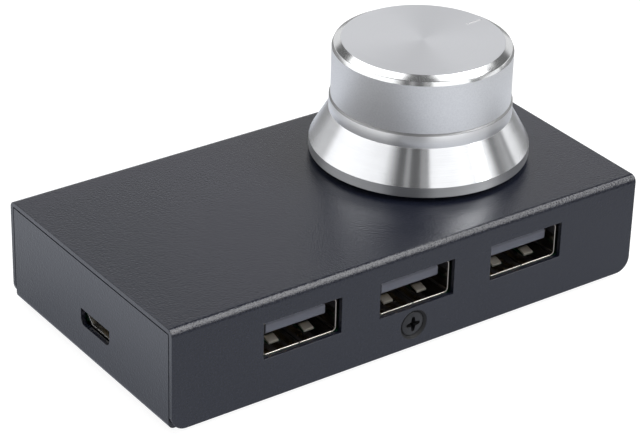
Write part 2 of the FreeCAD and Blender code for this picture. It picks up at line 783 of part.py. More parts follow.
def usb_shell(name, index):
    """A socket's folded shell: a tube with a seam below, springs top and bottom, legs and a back."""
    body = new_body(f"usb_shell_{name}")
    half, low, high = "shell_width / 2", "shell_lift", "shell_top"
    corner = "shell_corner"
    tube = slab(body, "XZ_Plane", [
        (f"-{half}", low, corner), (half, low, corner),
        (half, high, corner), (f"-{half}", high, corner),
    ], "shell_depth")
    tube.Reversed = True
    wall = "shell_wall"
    hollow = body.newObject("PartDesign::Pocket", "Hollow")
    inner = "shell_corner - shell_wall"
    hollow.Profile = outline(body, "XZ_Plane", [
        (f"-{half} + {wall}", f"{low} + {wall}", inner), (f"{half} - {wall}", f"{low} + {wall}", inner),
        (f"{half} - {wall}", f"{high} - {wall}", inner),
        (f"-{half} + {wall}", f"{high} - {wall}", inner),
    ])
    bind(hollow, Length="shell_depth + overrun")
    seam = ("shell_slit", "2 * shell_depth", f"2 * {wall}")
    block(body, True, seam, ("0", "0"), f"{low} - {wall} / 2")
    floor = ("shell_width - 2 * shell_corner", "2 * block_depth", f"2 * {wall}")
    block(body, True, floor, ("0", "shell_depth"), f"{low} - {wall} / 2")
    back = (f"shell_width - 2 * {wall}", wall, f"{high} - tongue_low")
    block(body, False, back, ("0", f"shell_depth - {wall} / 2"), f"tongue_low - {wall} / 2")
    for x_side in (-1, 1):
        leg_x = f"{x_side} * (shell_width - {wall}) / 2"
        leg = (wall, "leg_width", f"{low} + {corner} - pin_low")
        block(body, False, leg, (leg_x, "leg_inset"), "pin_low")
        for z_side, face in ((1, low), (-1, high)):
            window = "spring_root_inset - spring_tip_inset + 2 * spring_slit"
            middle = "(spring_root_inset + spring_tip_inset) / 2"
            x = f"{x_side} * spring_offset"
            cut = ("spring_width + 2 * spring_slit", window, f"2 * {wall}")
            block(body, True, cut, (x, middle), f"{face} - {wall}")
            spring(body, x, z_side, face)
    place(body, f"sockets_shift + {index} * socket_pitch", "socket_front", "board_top")


def spring(body, across, up, face):
    """A finger bent in from the shell's wall: root, crest and a tip turned back to the wall."""
    wall = "shell_wall"
    root = "spring_root_inset + 2 * spring_slit"
    crest, tip = "spring_crest_inset", "spring_tip_inset"
    profile = [
        (root, f"{face}"), (crest, f"{face} + ({up}) * spring_rise"),
        (tip, f"{face} + ({up}) * (spring_rise - spring_tip_drop)"),
        (tip, f"{face} + ({up}) * (spring_rise - spring_tip_drop + {wall})"),
        (crest, f"{face} + ({up}) * (spring_rise + {wall})"), (root, f"{face} + ({up}) * {wall}"),
    ]
    finger = pad(body, "YZ_Plane", profile, "spring_width")
    sketch = finger.Profile[0]
    sketch.AttachmentOffset = FreeCAD.Placement()
    sketch.setExpression("AttachmentOffset.Base.z", bound(across))
    return finger


def usb_insulator(name, index):
    """A socket's plastic core: the tongue, the block behind it and the slots for the blades."""
    body = new_body(f"usb_insulator_{name}")
    edge = "tongue_edge"
    front, high, low = "tongue_inset", "tongue_high", "tongue_low"
    pad(body, "YZ_Plane", [
        (f"{front} + {edge}", low), ("block_back", low), ("block_back", high),
        (f"{front} + {edge}", high), (front, f"{high} - {edge}"), (front, f"{low} + {edge}"),
    ], "tongue_width")
    inside = "shell_wall + assembly_gap"
    width, height = (f"shell_{size} - 2 * ({inside})" for size in ("width", "height"))
    block(body, False, (width, "block_back - block_front", height),
          ("0", "(block_front + block_back) / 2"), f"shell_lift + {inside}")
    DOC.recompute()
    solid = body.Tip
    sharp = edges_along(solid.Shape, FreeCAD.Vector(0, 1, 0),
                        lambda spot: abs(spot.x) > value("tongue_width") / 2 + value("assembly_gap"))
    round_edges(body, solid, sharp, "shell_corner - shell_wall")
    slot = "contact_width + 2 * assembly_gap"
    for side in (-1, 1):
        for offset in ("contact_inner_offset", "contact_outer_offset"):
            x = f"{side} * {offset}"
            start, stop = "contact_front - assembly_gap", "contact_pin + assembly_gap"
            depth = "contact_sheet + 2 * assembly_gap"
            block(body, True, (slot, f"{stop} - ({start})", depth), (x, f"({stop} + {start}) / 2"),
                  f"{low} - assembly_gap")
            start = "contact_pin - contact_sheet - assembly_gap"
            drop = f"{low} + contact_sheet + assembly_gap - shell_lift"
            block(body, True, (slot, f"shell_depth - ({start})", drop),
                  (x, f"(shell_depth + {start}) / 2"), "shell_lift")
    place(body, f"sockets_shift + {index} * socket_pitch", "socket_front", "board_top")


def usb_contacts(name, index):
    """A socket's four blades, each along the tongue with a bump, then down through the board."""
    members = []
    offsets = (
        "-contact_outer_offset", "-contact_inner_offset", "contact_inner_offset", "contact_outer_offset",
    )
    for number, offset in enumerate(offsets, 1):
        body = new_body(f"usb_contact_{name}_{number}", kept=False)
        low, high = "tongue_low", "(tongue_low + contact_sheet)"
        start, pin = "contact_front", "contact_pin"
        ramp = "contact_bump"
        pad(body, "YZ_Plane", [
            (start, high), (start, low), (f"{start} + {ramp}", f"{low} - contact_bump"),
            (f"{start} + contact_bump_length - {ramp}", f"{low} - contact_bump"),
            (f"{start} + contact_bump_length", low), (f"{pin} - contact_sheet", low),
            (f"{pin} - contact_sheet", "pin_low"), (pin, "pin_low"), (pin, high),
            (f"{start} + contact_bump_length", high),
            (f"{start} + contact_bump_length - {ramp}", f"{high} - contact_bump"),
            (f"{start} + {ramp}", f"{high} - contact_bump"),
        ], "contact_width")
        x = f"sockets_shift + {index} * socket_pitch + ({offset})"
        place(body, x, "socket_front", "board_top")
        members.append(body)
    group(f"usb_contacts_{name}", members)


def micro_usb():
    """The inlet: a bevelled shell with soldered wings, its tongue and block, five contacts."""
    spot = ("micro_front", "-micro_shift", "board_top")
    shell = new_body("micro_usb_shell")
    slab(shell, "YZ_Plane", micro_outline("0"), "micro_depth")
    hollow = shell.newObject("PartDesign::Pocket", "Hollow")
    hollow.Profile = outline(shell, "YZ_Plane", micro_outline("-micro_wall"))
    hollow.Reversed = True
    bind(hollow, Length="micro_depth + overrun")
    for side in (-1, 1):
        for x in ("micro_depth / 4", "micro_depth * 3 / 4"):
            wing_y = f"{side} * (micro_width + micro_wing - micro_wall) / 2"
            wing = ("micro_wing_length", "micro_wing + micro_wall", "micro_wall")
            block(shell, False, wing, (x, wing_y), "0")
    place(shell, *spot)

    core = new_body("micro_usb_insulator")
    margin = "-(micro_wall + assembly_gap)"
    slab(core, "YZ_Plane", micro_outline(margin), "micro_block")
    sketch = core.Tip.Profile[0]
    sketch.setExpression("AttachmentOffset.Base.z", bound("micro_depth - micro_block"))
    tongue = "micro_depth - micro_tongue_inset"
    block(core, False, (tongue, "micro_tongue_width", "micro_tongue_thickness"),
          ("(micro_depth + micro_tongue_inset) / 2", "0"), "micro_contact_sheet")
    slot_width = "micro_contact_width + 2 * assembly_gap"
    slot = ("micro_block + 2 * overrun", slot_width, "micro_contact_sheet + 2 * assembly_gap")
    first_y = f"-{(MICRO_CONTACT_COUNT - 1) // 2} * micro_contact_pitch"
    first = block(core, True, slot, ("micro_depth - micro_block / 2", first_y), "-assembly_gap")
    row(core, [first], "Y_Axis", "micro_contact_pitch", MICRO_CONTACT_COUNT)
    place(core, *spot)

    members = []
    for number in range(MICRO_CONTACT_COUNT):
        blade = new_body(f"micro_usb_contact_{number + 1}", kept=False)
        start = "micro_tongue_inset + micro_contact_start"
        end = "micro_depth + micro_foot"
        block(blade, False, (f"{end} - ({start})", "micro_contact_width", "micro_contact_sheet"),
              (f"({end} + {start}) / 2", "0"), "0")
        step = f"({number} - {MICRO_CONTACT_COUNT - 1} / 2)"
        place(blade, "micro_front", f"{step} * micro_contact_pitch - micro_shift", "board_top")
        members.append(blade)
    group("micro_usb_contacts", members)


def encoder_frame():
    """The bracket: a plate with a hole for the bushing, two sides and their board lugs."""
    body = new_body("encoder_frame")
    block(body, False, ("encoder_width", "encoder_width", "frame_sheet"), ("0", "0"), "flange_high")
    for side in (-1, 1):
        y = f"{side} * (encoder_width - frame_sheet) / 2"
        for width, low in (("base_side", "frame_lift"), ("lug_width", "pin_low")):
            block(body, False, (width, "frame_sheet", f"encoder_height - {low}"), ("0", y), low)
    rod(body, True, "bushing_radius + assembly_gap", "encoder_height", ("0", "0", "flange_low"))
    place(body, "encoder_x", "encoder_y", "board_top")


def encoder_bushing():
    """The threaded bushing with the square flange that closes the housing."""
    body = new_body("encoder_bushing")
    block(body, False, ("base_side", "base_side", "flange_thickness"), ("0", "0"), "flange_low")
    top = "bushing_top - board_top"
    rod(body, False, "bushing_radius", f"{top} - flange_low", ("0", "0", "flange_low"))
    rod(body, True, "shaft_radius + shaft_gap", f"{top} + overrun", ("0", "0", "0"))
    place(body, "encoder_x", "encoder_y", "board_top")


def encoder_shaft():
    """The shaft: a flat for the knob's hub above, a stop collar, and a key below for the rotor."""
    body = new_body("encoder_shaft")
    turned(body, [
        ("0", "shaft_low"), ("key_radius", "shaft_low"), ("key_radius", "collar_low"),
        ("shaft_collar_radius", "collar_low"), ("shaft_collar_radius", "collar_high"),
        ("shaft_radius", "collar_high"), ("shaft_radius", "shaft_tip - shaft_edge"),
        ("shaft_radius - shaft_edge", "shaft_tip"), ("0", "shaft_tip"),
    ])
    flat_low = "hub_low + knob_low - board_top - hub_gap"
    block(body, True, ("2 * shaft_radius", "2 * shaft_radius", f"shaft_tip + overrun - ({flat_low})"),
          ("0", "2 * shaft_radius - shaft_flat"), flat_low)
    for side in (-1, 1):
        block(body, True, ("2 * key_radius", "2 * key_radius", "collar_low - shaft_low"),
              (f"{side} * (2 * key_radius - key_flat)", "0"), "shaft_low")
    place(body, "encoder_x", "encoder_y", "board_top")


def encoder_rotor():
    """The code disc that the shaft's key turns, with the detent notches round its top."""
    body = new_body("encoder_rotor")
    rod(body, False, "rotor_radius", "rotor_thickness", ("0", "0", "rotor_low"))
    key = "key_radius - key_flat + shaft_gap"
    keyway = body.newObject("PartDesign::Pocket", "Keyway")
    keyway.Profile = outline(body, "XY_Plane", [(f"-({key})", "-key_radius"), (key, "-key_radius"),
                                                (key, "key_radius"), (f"-({key})", "key_radius")])
    keyway.Reversed = True
    bind(keyway, Length="rotor_high + overrun")
    notch = block(body, True, ("notch_length", "notch_width", "notch_depth + overrun"),
                  ("rotor_radius - notch_length / 2", "0"), "rotor_high - notch_depth")
    ring_of(body, notch, DETENT_COUNT)
    place(body, "encoder_x", "encoder_y", "board_top")


def detent_spring():
    """A leaf ring under the flange with two bent leaves that ride on the rotor's notches."""
    body = new_body("detent_spring")
    outer, inner = "rotor_radius", "detent_inner"
    rod(body, False, outer, "detent_sheet", ("0", "0", "flange_low - detent_sheet"))
    hole_low = "flange_low - detent_sheet - overrun"
    rod(body, True, inner, "detent_sheet + 2 * overrun", ("0", "0", hole_low))
    tip = "rotor_high + press_gap"
    high = "flange_low"
    sheet = "detent_sheet"
    for side in (-1, 1):
        leaf = pad(body, "XZ_Plane", [
            ("-detent_reach / 2", high), (f"-{sheet}", tip), (sheet, tip), ("detent_reach / 2", high),
            (f"detent_reach / 2 - {sheet}", high), (f"{sheet} / 2", f"{tip} + {sheet}"),
            (f"-{sheet} / 2", f"{tip} + {sheet}"), (f"-detent_reach / 2 + {sheet}", high),
        ], "detent_ring / 2")
        sketch = leaf.Profile[0]
        sketch.setExpression("AttachmentOffset.Base.z", bound(f"{side} * ({outer} - detent_ring / 2)"))
    place(body, "encoder_x", "encoder_y", "board_top")


def encoder_base():
    """The plastic housing: a well for the rotor, the shaft's hole and slots for the terminals."""
    body = new_body("encoder_base")
    block(body, False, ("base_side", "base_side", "flange_low - base_low"), ("0", "0"), "base_low")
    rod(body, True, "well_radius", "encoder_height", ("0", "0", "base_deck"))
    rod(body, True, "key_radius + key_hole_gap", "encoder_height", ("0", "0", "base_low - overrun"))
    slot = ("base_side / 2", "terminal_width + 2 * assembly_gap", "terminal_sheet + 2 * assembly_gap")
    first = block(body, True, slot, ("-base_side / 2", "-terminal_pitch"), "base_deck - assembly_gap")
    row(body, [first], "Y_Axis", "terminal_pitch", 3)
    place(body, "encoder_x", "encoder_y", "board_top")


def encoder_terminals():
    """Three strips, each a brush under the rotor, a run through the wall and a pin below."""
    members = []
    sheet = "terminal_sheet"
    out = "base_side / 2 + terminal_out"
    bend, tip = "base_side / 2 - brush_bend_inset", "base_side / 2 - brush_tip_inset"
    touch = "rotor_low - press_gap"
    for index in (-1, 0, 1):
        body = new_body(f"encoder_terminal_{index + 2}", kept=False)
        pad(body, "XZ_Plane", [
            (f"-({out})", "pin_low"), (f"-({out}) + {sheet}", "pin_low"),
            (f"-({out}) + {sheet}", "base_deck"), (f"-({bend})", "base_deck"),
            (f"-({tip})", f"{touch} - {sheet}"), (f"-({tip})", touch),
            (f"-({bend})", f"base_deck + {sheet}"), (f"-({out})", f"base_deck + {sheet}"),
        ], "terminal_width")
        place(body, "encoder_x", f"encoder_y + {index} * terminal_pitch", "board_top")
        members.append(body)
    group("encoder_terminals", members)


def switch_base():
    """The lower housing with the dome's well and slots for the switch's two terminals."""
    body = new_body("switch_base")
    block(body, False, ("base_side", "base_side", "base_low"), ("0", "0"), "0")
    rod(body, True, "dome_radius + dome_gap", "base_low", ("0", "0", "switch_floor"))
    slot = ("base_side", "terminal_width + 2 * assembly_gap", "terminal_sheet + assembly_gap")
    first = block(body, True, slot, ("base_side / 2 + dome_radius", "-switch_terminal_pitch / 2"),
                  "switch_floor")
    row(body, [first], "Y_Axis", "switch_terminal_pitch", 2)
    place(body, "encoder_x", "encoder_y", "board_top")


def switch_terminals():
    """Two strips from beside the dome, out through the wall and down through the board."""
    members = []
    sheet = "terminal_sheet"
    out = "base_side / 2 + terminal_out"
    for side in (-1, 1):
        body = new_body(f"switch_terminal_{(side + 3) // 2}", kept=False)
        pad(body, "XZ_Plane", [
            ("dome_radius", "switch_floor"), (f"{out} - {sheet}", "switch_floor"),
            (f"{out} - {sheet}", "pin_low"), (out, "pin_low"), (out, f"switch_floor + {sheet}"),
            ("dome_radius", f"switch_floor + {sheet}"),
        ], "terminal_width")
        place(body, "encoder_x", f"encoder_y + {side} * switch_terminal_pitch / 2", "board_top")
        members.append(body)
    group("switch_terminals", members)


def switch_dome():
    """The snap dome, a thin pressed cap on the floor of the switch's well."""
    body = new_body("switch_dome")
    sheet = "dome_sheet"
    turned(body, [
        ("0", "dome_top"), ("dome_flat_radius", "dome_top"), ("dome_radius", f"switch_floor + {sheet}"),
        ("dome_radius", "switch_floor"), (f"dome_radius - {sheet}", "switch_floor"),
        ("dome_flat_radius", f"dome_top - {sheet}"), ("0", f"dome_top - {sheet}"),
    ])
    place(body, "encoder_x", "encoder_y", "board_top")


def switch_plunger():
    """The stepped pin between the shaft's end and the dome."""
    body = new_body("switch_plunger")
    flange_low = "flange_stop - plunger_flange"
    turned(body, [
        ("0", "plunger_low"), ("dome_flat_radius", "plunger_low"), ("dome_flat_radius", flange_low),
        ("plunger_flange_radius", flange_low), ("plunger_flange_radius", "flange_stop"),
        ("plunger_radius", "flange_stop"), ("plunger_radius", "plunger_high"), ("0", "plunger_high"),
    ])
    place(body, "encoder_x", "encoder_y", "board_top")


def panel_hardware():
    """The washer and the hexagon nut on the bushing above the cover."""
    washer = new_body("panel_washer")
    rod(washer, False, "washer_radius", "washer_thickness", ("0", "0", "0"))
    through = "washer_thickness + 2 * overrun"
    rod(washer, True, "bushing_radius + bushing_hole_gap", through, ("0", "0", "-overrun"))
    place(washer, "encoder_x", "encoder_y", "case_top")
    nut = new_body("panel_nut")
    prism = nut.newObject("PartDesign::AdditivePrism", "Hexagon")
    prism.Polygon = 6
    bind(prism, Circumradius="nut_flats / 2 / cos(30 deg)", Height="nut_height")
    rod(nut, True, "bushing_radius + thread_gap", "nut_height + 2 * overrun", ("0", "0", "-overrun"))
    place(nut, "encoder_x", "encoder_y", "case_top + washer_thickness")


def knob_shell():
    """The turned knob: rim, cone, band, groove, barrel, shoulder and bevel, hollow below."""
    body = new_body("knob_shell")
    groove_radius, groove_high = "barrel_radius - groove_depth", "groove_low + groove_width"
    turned(body, [
        ("recess_radius", "0"), ("rim_radius - rim_edge", "0"), ("rim_radius", "rim_edge"),
        ("rim_radius", "rim_height"), ("neck_radius", "neck_low"), ("neck_radius", "groove_low"),
        (groove_radius, "groove_low"), (groove_radius, groove_high),
        ("barrel_radius", groove_high), ("barrel_radius", "bevel_low - shoulder_height"),
        ("barrel_radius - shoulder_across", "bevel_low"),
        ("barrel_radius - bevel_across", "knob_height"), ("0", "knob_height"), ("0", "bore_top"),
        ("hub_radius", "bore_top"), ("hub_radius", "recess_depth"), ("recess_radius", "recess_depth"),
    ])
    block(body, True, ("indicator_length", "indicator_width", "indicator_depth + overrun"),
          ("indicator_end - indicator_length / 2", "0"), "knob_height - indicator_depth")
    body.setExpression("Placement.Rotation.Angle", bound("indicator_angle"))
    place(body, "encoder_x", "encoder_y", "knob_low")


def knob_insert():
    """The plastic hub pressed into the knob, with a D-shaped bore that fits the shaft."""
    body = new_body("knob_insert")
    radius, high = "hub_radius - assembly_gap", "bore_top - assembly_gap"
    turned(body, [("0", "hub_low"), (radius, "hub_low"), (radius, high), ("0", high)])
    bore = body.newObject("PartDesign::Pocket", "Bore")
    half, flat = "(shaft_radius + shaft_gap)", "(shaft_radius - shaft_flat + shaft_gap)"
    square = outline(body, "XY_Plane", [(f"-{half}", f"-{half}"), (half, f"-{half}"), (half, flat),
                                        (f"-{half}", flat)])
    DOC.recompute()
    bore.Profile = square
    bore.Reversed = True
    bind(bore, Length="bore_top - assembly_gap + overrun")
    place(body, "encoder_x", "encoder_y", "knob_low")


def gull_wing_chip(label, kind, leads, shares):
    """A chip body with bent leads down both long sides."""
    body = new_body(label)
    length, width, height = (f"{kind}_chip_{size}" for size in ("length", "width", "height"))
    pitch, reach = f"{kind}_chip_pitch", f"{kind}_lead_reach"
    edge = "chip_edge"
    middle, high = f"lead_lift + {height} / 2", f"lead_lift + {height}"
    half = f"{width} / 2"
    pad(body, "YZ_Plane", [
        (f"-{half} + {edge}", "lead_lift"), (f"{half} - {edge}", "lead_lift"), (half, middle),
        (f"{half} - {edge}", high), (f"-{half} + {edge}", high), (f"-{half}", middle),
    ], length)
    sheet = "lead_sheet"
    first = f"-{pitch} * {leads - 1} / 2"
    for side in (-1, 1):
        steps = ("- chip_edge", f"+ {reach} / 2 - {sheet}", f"+ {reach} / 2", f"+ {reach}")
        root, shin, knee, toe = (f"({side}) * ({half} {step})" for step in steps)
        lead = pad(body, "YZ_Plane", [
            (root, middle), (shin, middle), (shin, "0"), (toe, "0"), (toe, sheet), (knee, sheet),
            (knee, f"{middle} + {sheet}"), (root, f"{middle} + {sheet}"),
        ], f"{kind}_lead_width")
        sketch = lead.Profile[0]
        sketch.setExpression("AttachmentOffset.Base.z", bound(first))
        row(body, [lead], "X_Axis", pitch, leads)
    place(body, *on_board(shares), "board_top")


def on_board(shares):
    """A place on the board from shares of its half length and half width."""
    return f"{shares[0]} * board_length / 2", f"{shares[1]} * board_width / 2"


def crystal(label, shares):
    """A crystal in a round-ended can on its base."""
    body = new_body(label)
    half, side, corner = "crystal_length / 2", "crystal_width / 2", "crystal_corner"
    slab(body, "XY_Plane", rounded_box(half, side, corner), "crystal_base")
    can_half, can_side = f"({half} - crystal_rim)", f"({side} - crystal_rim / 2)"
    can = rounded_box(can_half, can_side, f"{corner} - crystal_rim / 2")
    slab(body, "XY_Plane", can, "crystal_height")
    place(body, *on_board(shares), "board_top")


def smoothing_capacitor(name, shares):
    """An aluminium can with a crimped waist on its square plastic base."""
    body = new_body(f"smoothing_capacitor_{name}")
    block(body, False, ("can_base", "can_base", "can_base_height"), ("0", "0"), "0")
    waist_low, waist_radius = "can_base_height + can_waist_rise", "can_radius - can_waist"
    waist_high = f"{waist_low} + can_waist_length"
    turned(body, [
        ("0", "can_base_height / 2"), ("can_radius", "can_base_height / 2"), ("can_radius", waist_low),
        (waist_radius, f"{waist_low} + can_waist"), (waist_radius, f"{waist_high} - can_waist"),
        ("can_radius", waist_high), ("can_radius", "can_height - can_waist"),
        (waist_radius, "can_height"), ("0", "can_height"),
    ])
    place(body, *on_board(shares), "board_top")


def chip_parts(label, shares_list, length, width, height):
    """A group of small two-ended parts: a ceramic middle between two slightly larger ends."""
    members = []
    for number, shares in enumerate(shares_list, 1):
        body = new_body(f"{label}_{number}", kept=False)
        waist = "chip_waist"
        middle = (length, f"{width} - 2 * {waist}", f"{height} - 2 * {waist}")
        block(body, False, middle, ("0", "0"), waist)
        for side in (-1, 1):
            end_x = f"{side} * ({length} - chip_end) / 2"
            block(body, False, ("chip_end", width, height), (end_x, "0"), "0")
        place(body, *on_board(shares), "board_top")
        members.append(body)
    group(label, members)


def build():
    """Make every piece."""
    fill_sheet()
    top_cover()
    bottom_tray()
    feet()
    case_screws()
    board_fasteners()
    circuit_board()
    for name, index in SOCKETS.items():
        usb_shell(name, index)
        usb_insulator(name, index)
        usb_contacts(name, index)
    micro_usb()
    encoder_frame()
    encoder_bushing()
    encoder_shaft()
    encoder_rotor()
    detent_spring()
    encoder_base()
    encoder_terminals()
    switch_base()
    switch_terminals()
    switch_dome()
    switch_plunger()
    panel_hardware()
    knob_shell()
    knob_insert()
    gull_wing_chip("hub_chip", "hub", HUB_LEAD_COUNT, HUB_CHIP_SHARES)
    gull_wing_chip("audio_chip", "audio", AUDIO_LEAD_COUNT, AUDIO_CHIP_SHARES)
    crystal("hub_crystal", HUB_CRYSTAL_SHARES)
    crystal("audio_crystal", AUDIO_CRYSTAL_SHARES)
    for name, shares in CAN_SHARES.items():
        smoothing_capacitor(name, shares)
    length, width = "chip_part_length", "chip_part_width"
    chip_parts("ceramic_capacitors", CAPACITOR_SHARES, length, width, "capacitor_height")
    chip_parts("chip_resistors", RESISTOR_SHARES, length, width, "resistor_height")
    chip_parts("port_fuses", FUSE_SHARES, "fuse_length", "fuse_width", "fuse_height")
    DOC.recompute()


def check_and_write():
    """Stop on any failed object or shape, then write each piece to its own file."""
    for thing in DOC.Objects:
        if "Invalid" in thing.State or "Error" in thing.State:
            raise RuntimeError(f"{thing.Label} failed: {thing.State}")
    for piece in PARTS:
        if piece.Shape.isNull() or not piece.Shape.isValid() or not piece.Shape.Solids:
            raise RuntimeError(f"{piece.Label} has no valid solid")
    os.makedirs("parts", exist_ok=True)
    for piece in PARTS:
        piece.Shape.exportStep(f"parts/{piece.Label}.step")
        print(f"{piece.Label}: {len(piece.Shape.Solids)} solids, {piece.Shape.Volume:.2f} mm3")


build()
check_and_write()
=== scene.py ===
import json
import math

import bmesh
import bpy
from mathutils import Matrix, Vector


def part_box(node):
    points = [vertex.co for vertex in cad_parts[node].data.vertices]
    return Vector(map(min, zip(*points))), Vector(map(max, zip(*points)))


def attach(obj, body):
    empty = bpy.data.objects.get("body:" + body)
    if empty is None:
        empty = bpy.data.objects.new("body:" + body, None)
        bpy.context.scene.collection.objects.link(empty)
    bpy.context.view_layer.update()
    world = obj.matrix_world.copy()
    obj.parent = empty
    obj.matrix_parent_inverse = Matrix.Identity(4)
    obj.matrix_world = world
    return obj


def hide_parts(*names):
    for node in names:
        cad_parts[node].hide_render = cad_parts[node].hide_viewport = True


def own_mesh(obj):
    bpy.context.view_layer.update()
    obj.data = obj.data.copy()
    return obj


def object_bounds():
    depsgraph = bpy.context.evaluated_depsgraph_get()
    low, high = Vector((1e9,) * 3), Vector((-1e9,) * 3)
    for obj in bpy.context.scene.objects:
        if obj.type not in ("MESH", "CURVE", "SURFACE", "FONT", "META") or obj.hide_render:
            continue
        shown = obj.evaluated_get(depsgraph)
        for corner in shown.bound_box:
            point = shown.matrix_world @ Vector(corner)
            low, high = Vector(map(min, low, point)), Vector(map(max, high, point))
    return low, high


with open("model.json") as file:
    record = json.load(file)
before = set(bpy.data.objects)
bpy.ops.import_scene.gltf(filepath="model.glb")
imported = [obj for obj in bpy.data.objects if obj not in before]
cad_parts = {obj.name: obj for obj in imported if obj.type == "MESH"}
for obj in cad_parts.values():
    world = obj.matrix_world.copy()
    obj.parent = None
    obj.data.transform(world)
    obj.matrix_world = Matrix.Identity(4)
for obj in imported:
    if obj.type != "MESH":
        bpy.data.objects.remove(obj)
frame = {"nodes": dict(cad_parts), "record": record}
CAD_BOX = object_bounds()

MM = 0.001

# The photograph's camera: its place, and its right, down and forward directions
CAMERA_PLACE = (-207.178, -284.184, 207.089)
CAMERA_RIGHT = (0.81727, -0.57576, 0.02377)
CAMERA_DOWN = (-0.26183, -0.40777, -0.87474)
CAMERA_FORWARD = (0.51334, 0.70867, -0.48401)
CAMERA_LENS = 146.873

# Studio light by direction, in degrees. Azimuths go round the vertical from the camera's own
# direction, positive to its right.
CAMERA_AZIMUTH = -125.9
ROOM_DARK = 0.14
SOFTBOXES = (
    # middle azimuth, half width, blur of its sides, low and high elevation, blur, brightness
    (180, 38, 3, -90, 22, 2, 0.8),
    (180, 14, 3, -90, 35, 3, 0.95),
    (-128, 20, 4, -90, 12, 4, 0.9),
    (-120, 29, 2, 41, 78.5, 2, 2.2),
    (122, 33, 2, 48, 79, 2, 2.1),
    (104, 40, 4, 51, 66, 3, 7.5),
    (80, 13, 2, 34, 62, 3, 7.5),
    (71, 5, 2, 18, 37, 3, 7.5),
    (142, 10, 2, 41, 79, 2, 1.4),
    (103, 9, 3, -90, 14, 4, 0.42),
    (127, 16, 3, -90, 12, 4, 1.4),
    (-72, 42, 9, -90, 36, 3, 1.45),
    (35, 24, 1.5, -90, 50, 8, 1.38),
    (74, 13, 5, 13, 50, 2, 1.3),
    (90, 17, 2, -90, 7, 2, 1.2),
    (-13, 3, 0.5, -90, 50, 8, 0.45),
    (5, 4, 0.5, -90, 50, 8, 0.42),
)

# The floor: its paint's grey, and its brightness to the camera
FLOOR_PAINT = 0.25
FLOOR_GLOW = 0.9
# How brightly the floor round the case shows in shiny surfaces: in front, beside its left end, far away
GLOW_IN_METAL = (0.6, 1.5, 0.0)
GLOW_COLOUR = (0.84, 0.89, 1.0, 1.0)
# In metres: where along X the left end's brightness gives way to the front one, and how far from the
# case's middle both fade out
GLOW_LEFT = (-0.075, -0.045)
GLOW_REACH = (0.075, 0.12)

# The knob: heights from its rim's underside, in millimetres
KNOB_CENTRE = (19.3, 2.66, 18.4)
KNOB_SEGMENTS = 256
KNOB_PROFILE = (
    # radius, height, corner's rounding, finish of the run that follows
    (12.11, 3.4, 0.0, "turned"),
    (12.11, 0.0, 0.1, "turned"),
    (17.31, 0.0, 0.15, "rim"),
    (17.31, 1.72, 0.08, "turned"),
    (14.33, 6.94, 0.2, "satin"),
    # The three runs of the groove are painted dark as the shade inside it
    (14.33, 8.93, 0.0, "groove_shade"),
    (13.8, 8.93, 0.0, "groove_shade"),
    (13.8, 9.28, 0.0, "groove_shade"),
    (14.1, 9.28, 0.0, "blasted"),
    (14.1, 17.25, 0.08, "polished"),
    (13.85, 17.89, 0.25, "polished"),
    (12.72, 18.52, 0.12, "spun"),
    (0.0, 18.52, 0.0, "turned"),
)
# The line engraved in the knob's face, from the centre outwards, at an angle from X
INDICATOR = {"start": 9.04, "end": 12.22, "width": 0.35, "depth": 0.12, "angle": 4.3}
INDICATOR_END_STEPS = 8
CUTTER_RISE = 0.5
# The bore for the knob's insert, from the middle of its ceiling outwards: radius and height
KNOB_INNER = ((0.0, 15.32), (6.0, 15.32), (6.0, 3.4))

# The case's two cross-head screws: heights from the head's face, along the screw
SCREW_PROFILE = (
    # radius, height, corner's rounding
    (0.0, -5.0, 0.0),
    (1.25, -5.0, 0.0),
    (1.25, -1.1, 0.0),
    (2.02, -0.32, 0.05),
    (1.94, 0.0, 0.12),
    (1.2, 0.13, 0.0),
    (0.0, 0.16, 0.0),
)
SCREW_SEGMENTS = 96
CROSS = {"reach": 1.3, "tip": 0.27, "root": 0.44, "depth": 0.9, "top": 0.25, "taper": 0.15}
SCREW_SIDES = {"front": -1, "rear": 1}

# The slope in the coat round a case screw's head, painted near-black as the shade in the gap round the head,
# and made rougher
DIMPLE_RADIUS = 2.7
DIMPLE_BLUR = 0.02
DIMPLE_ROUGHNESS = 0.65

# The switch's snap dome: heights from the floor that it stands on
DOME_PROFILE = (
    # radius, height, corner's rounding
    (0.0, 0.55, 0.0),
    (0.8, 0.55, 0.2),
    (2.45, 0.0, 0.0),
    (2.6, 0.0, 0.0),
    (2.6, 0.15, 0.0),
    (0.8, 0.7, 0.2),
    (0.0, 0.7, 0.0),
)
DOME_SEGMENTS = 64

SOCKET_SIDES = ("left", "middle", "right")
# A socket's springs, made duller and painted lighter as a highlight: aside from its middle and behind its
# front edge, in millimetres
SPRING_OFFSET = 3.1
SPRING_WIDTH = 1.7
SPRING_FRONT = 1.9
SPRING_BACK = 3.3
SPRING_BLUR = 0.05
# How deep the shell's dull cut edge shows, and where it has faded
CUT_EDGE = (0.02, 0.06)
# A socket's shell and the rim in front of it: the rim's top is above the floor
SHELL_WALL = 0.3
SHELL_CORNER = 0.8
SEAM = 0.3
RIM_BEAD = 0.08
RIM_SET_BACK = 0.03
RIM_TOP = 13.4
RIM_HEIGHT = 5.7
RIM_CORNER_STEPS = 6

# How many straight runs a profile's rounded corner has
CORNER_STEPS = 4

# How far each node's sharp edges are rounded, in millimetres
EDGES = {
    "top_cover": 0.12, "bottom_tray": 0.12,
    "usb_shell_left": 0.12, "usb_shell_middle": 0.12, "usb_shell_right": 0.12,
    "micro_usb_shell": 0.05, "micro_usb_insulator": 0.03,
}


def add(tree, kind, inputs=None, **settings):
    """A node with its settings; its inputs are plain values or other nodes' sockets."""
    node = tree.nodes.new("ShaderNode" + kind)
    for name, setting in settings.items():
        setattr(node, name, setting)
    feed(tree, node, inputs or {})
    return node


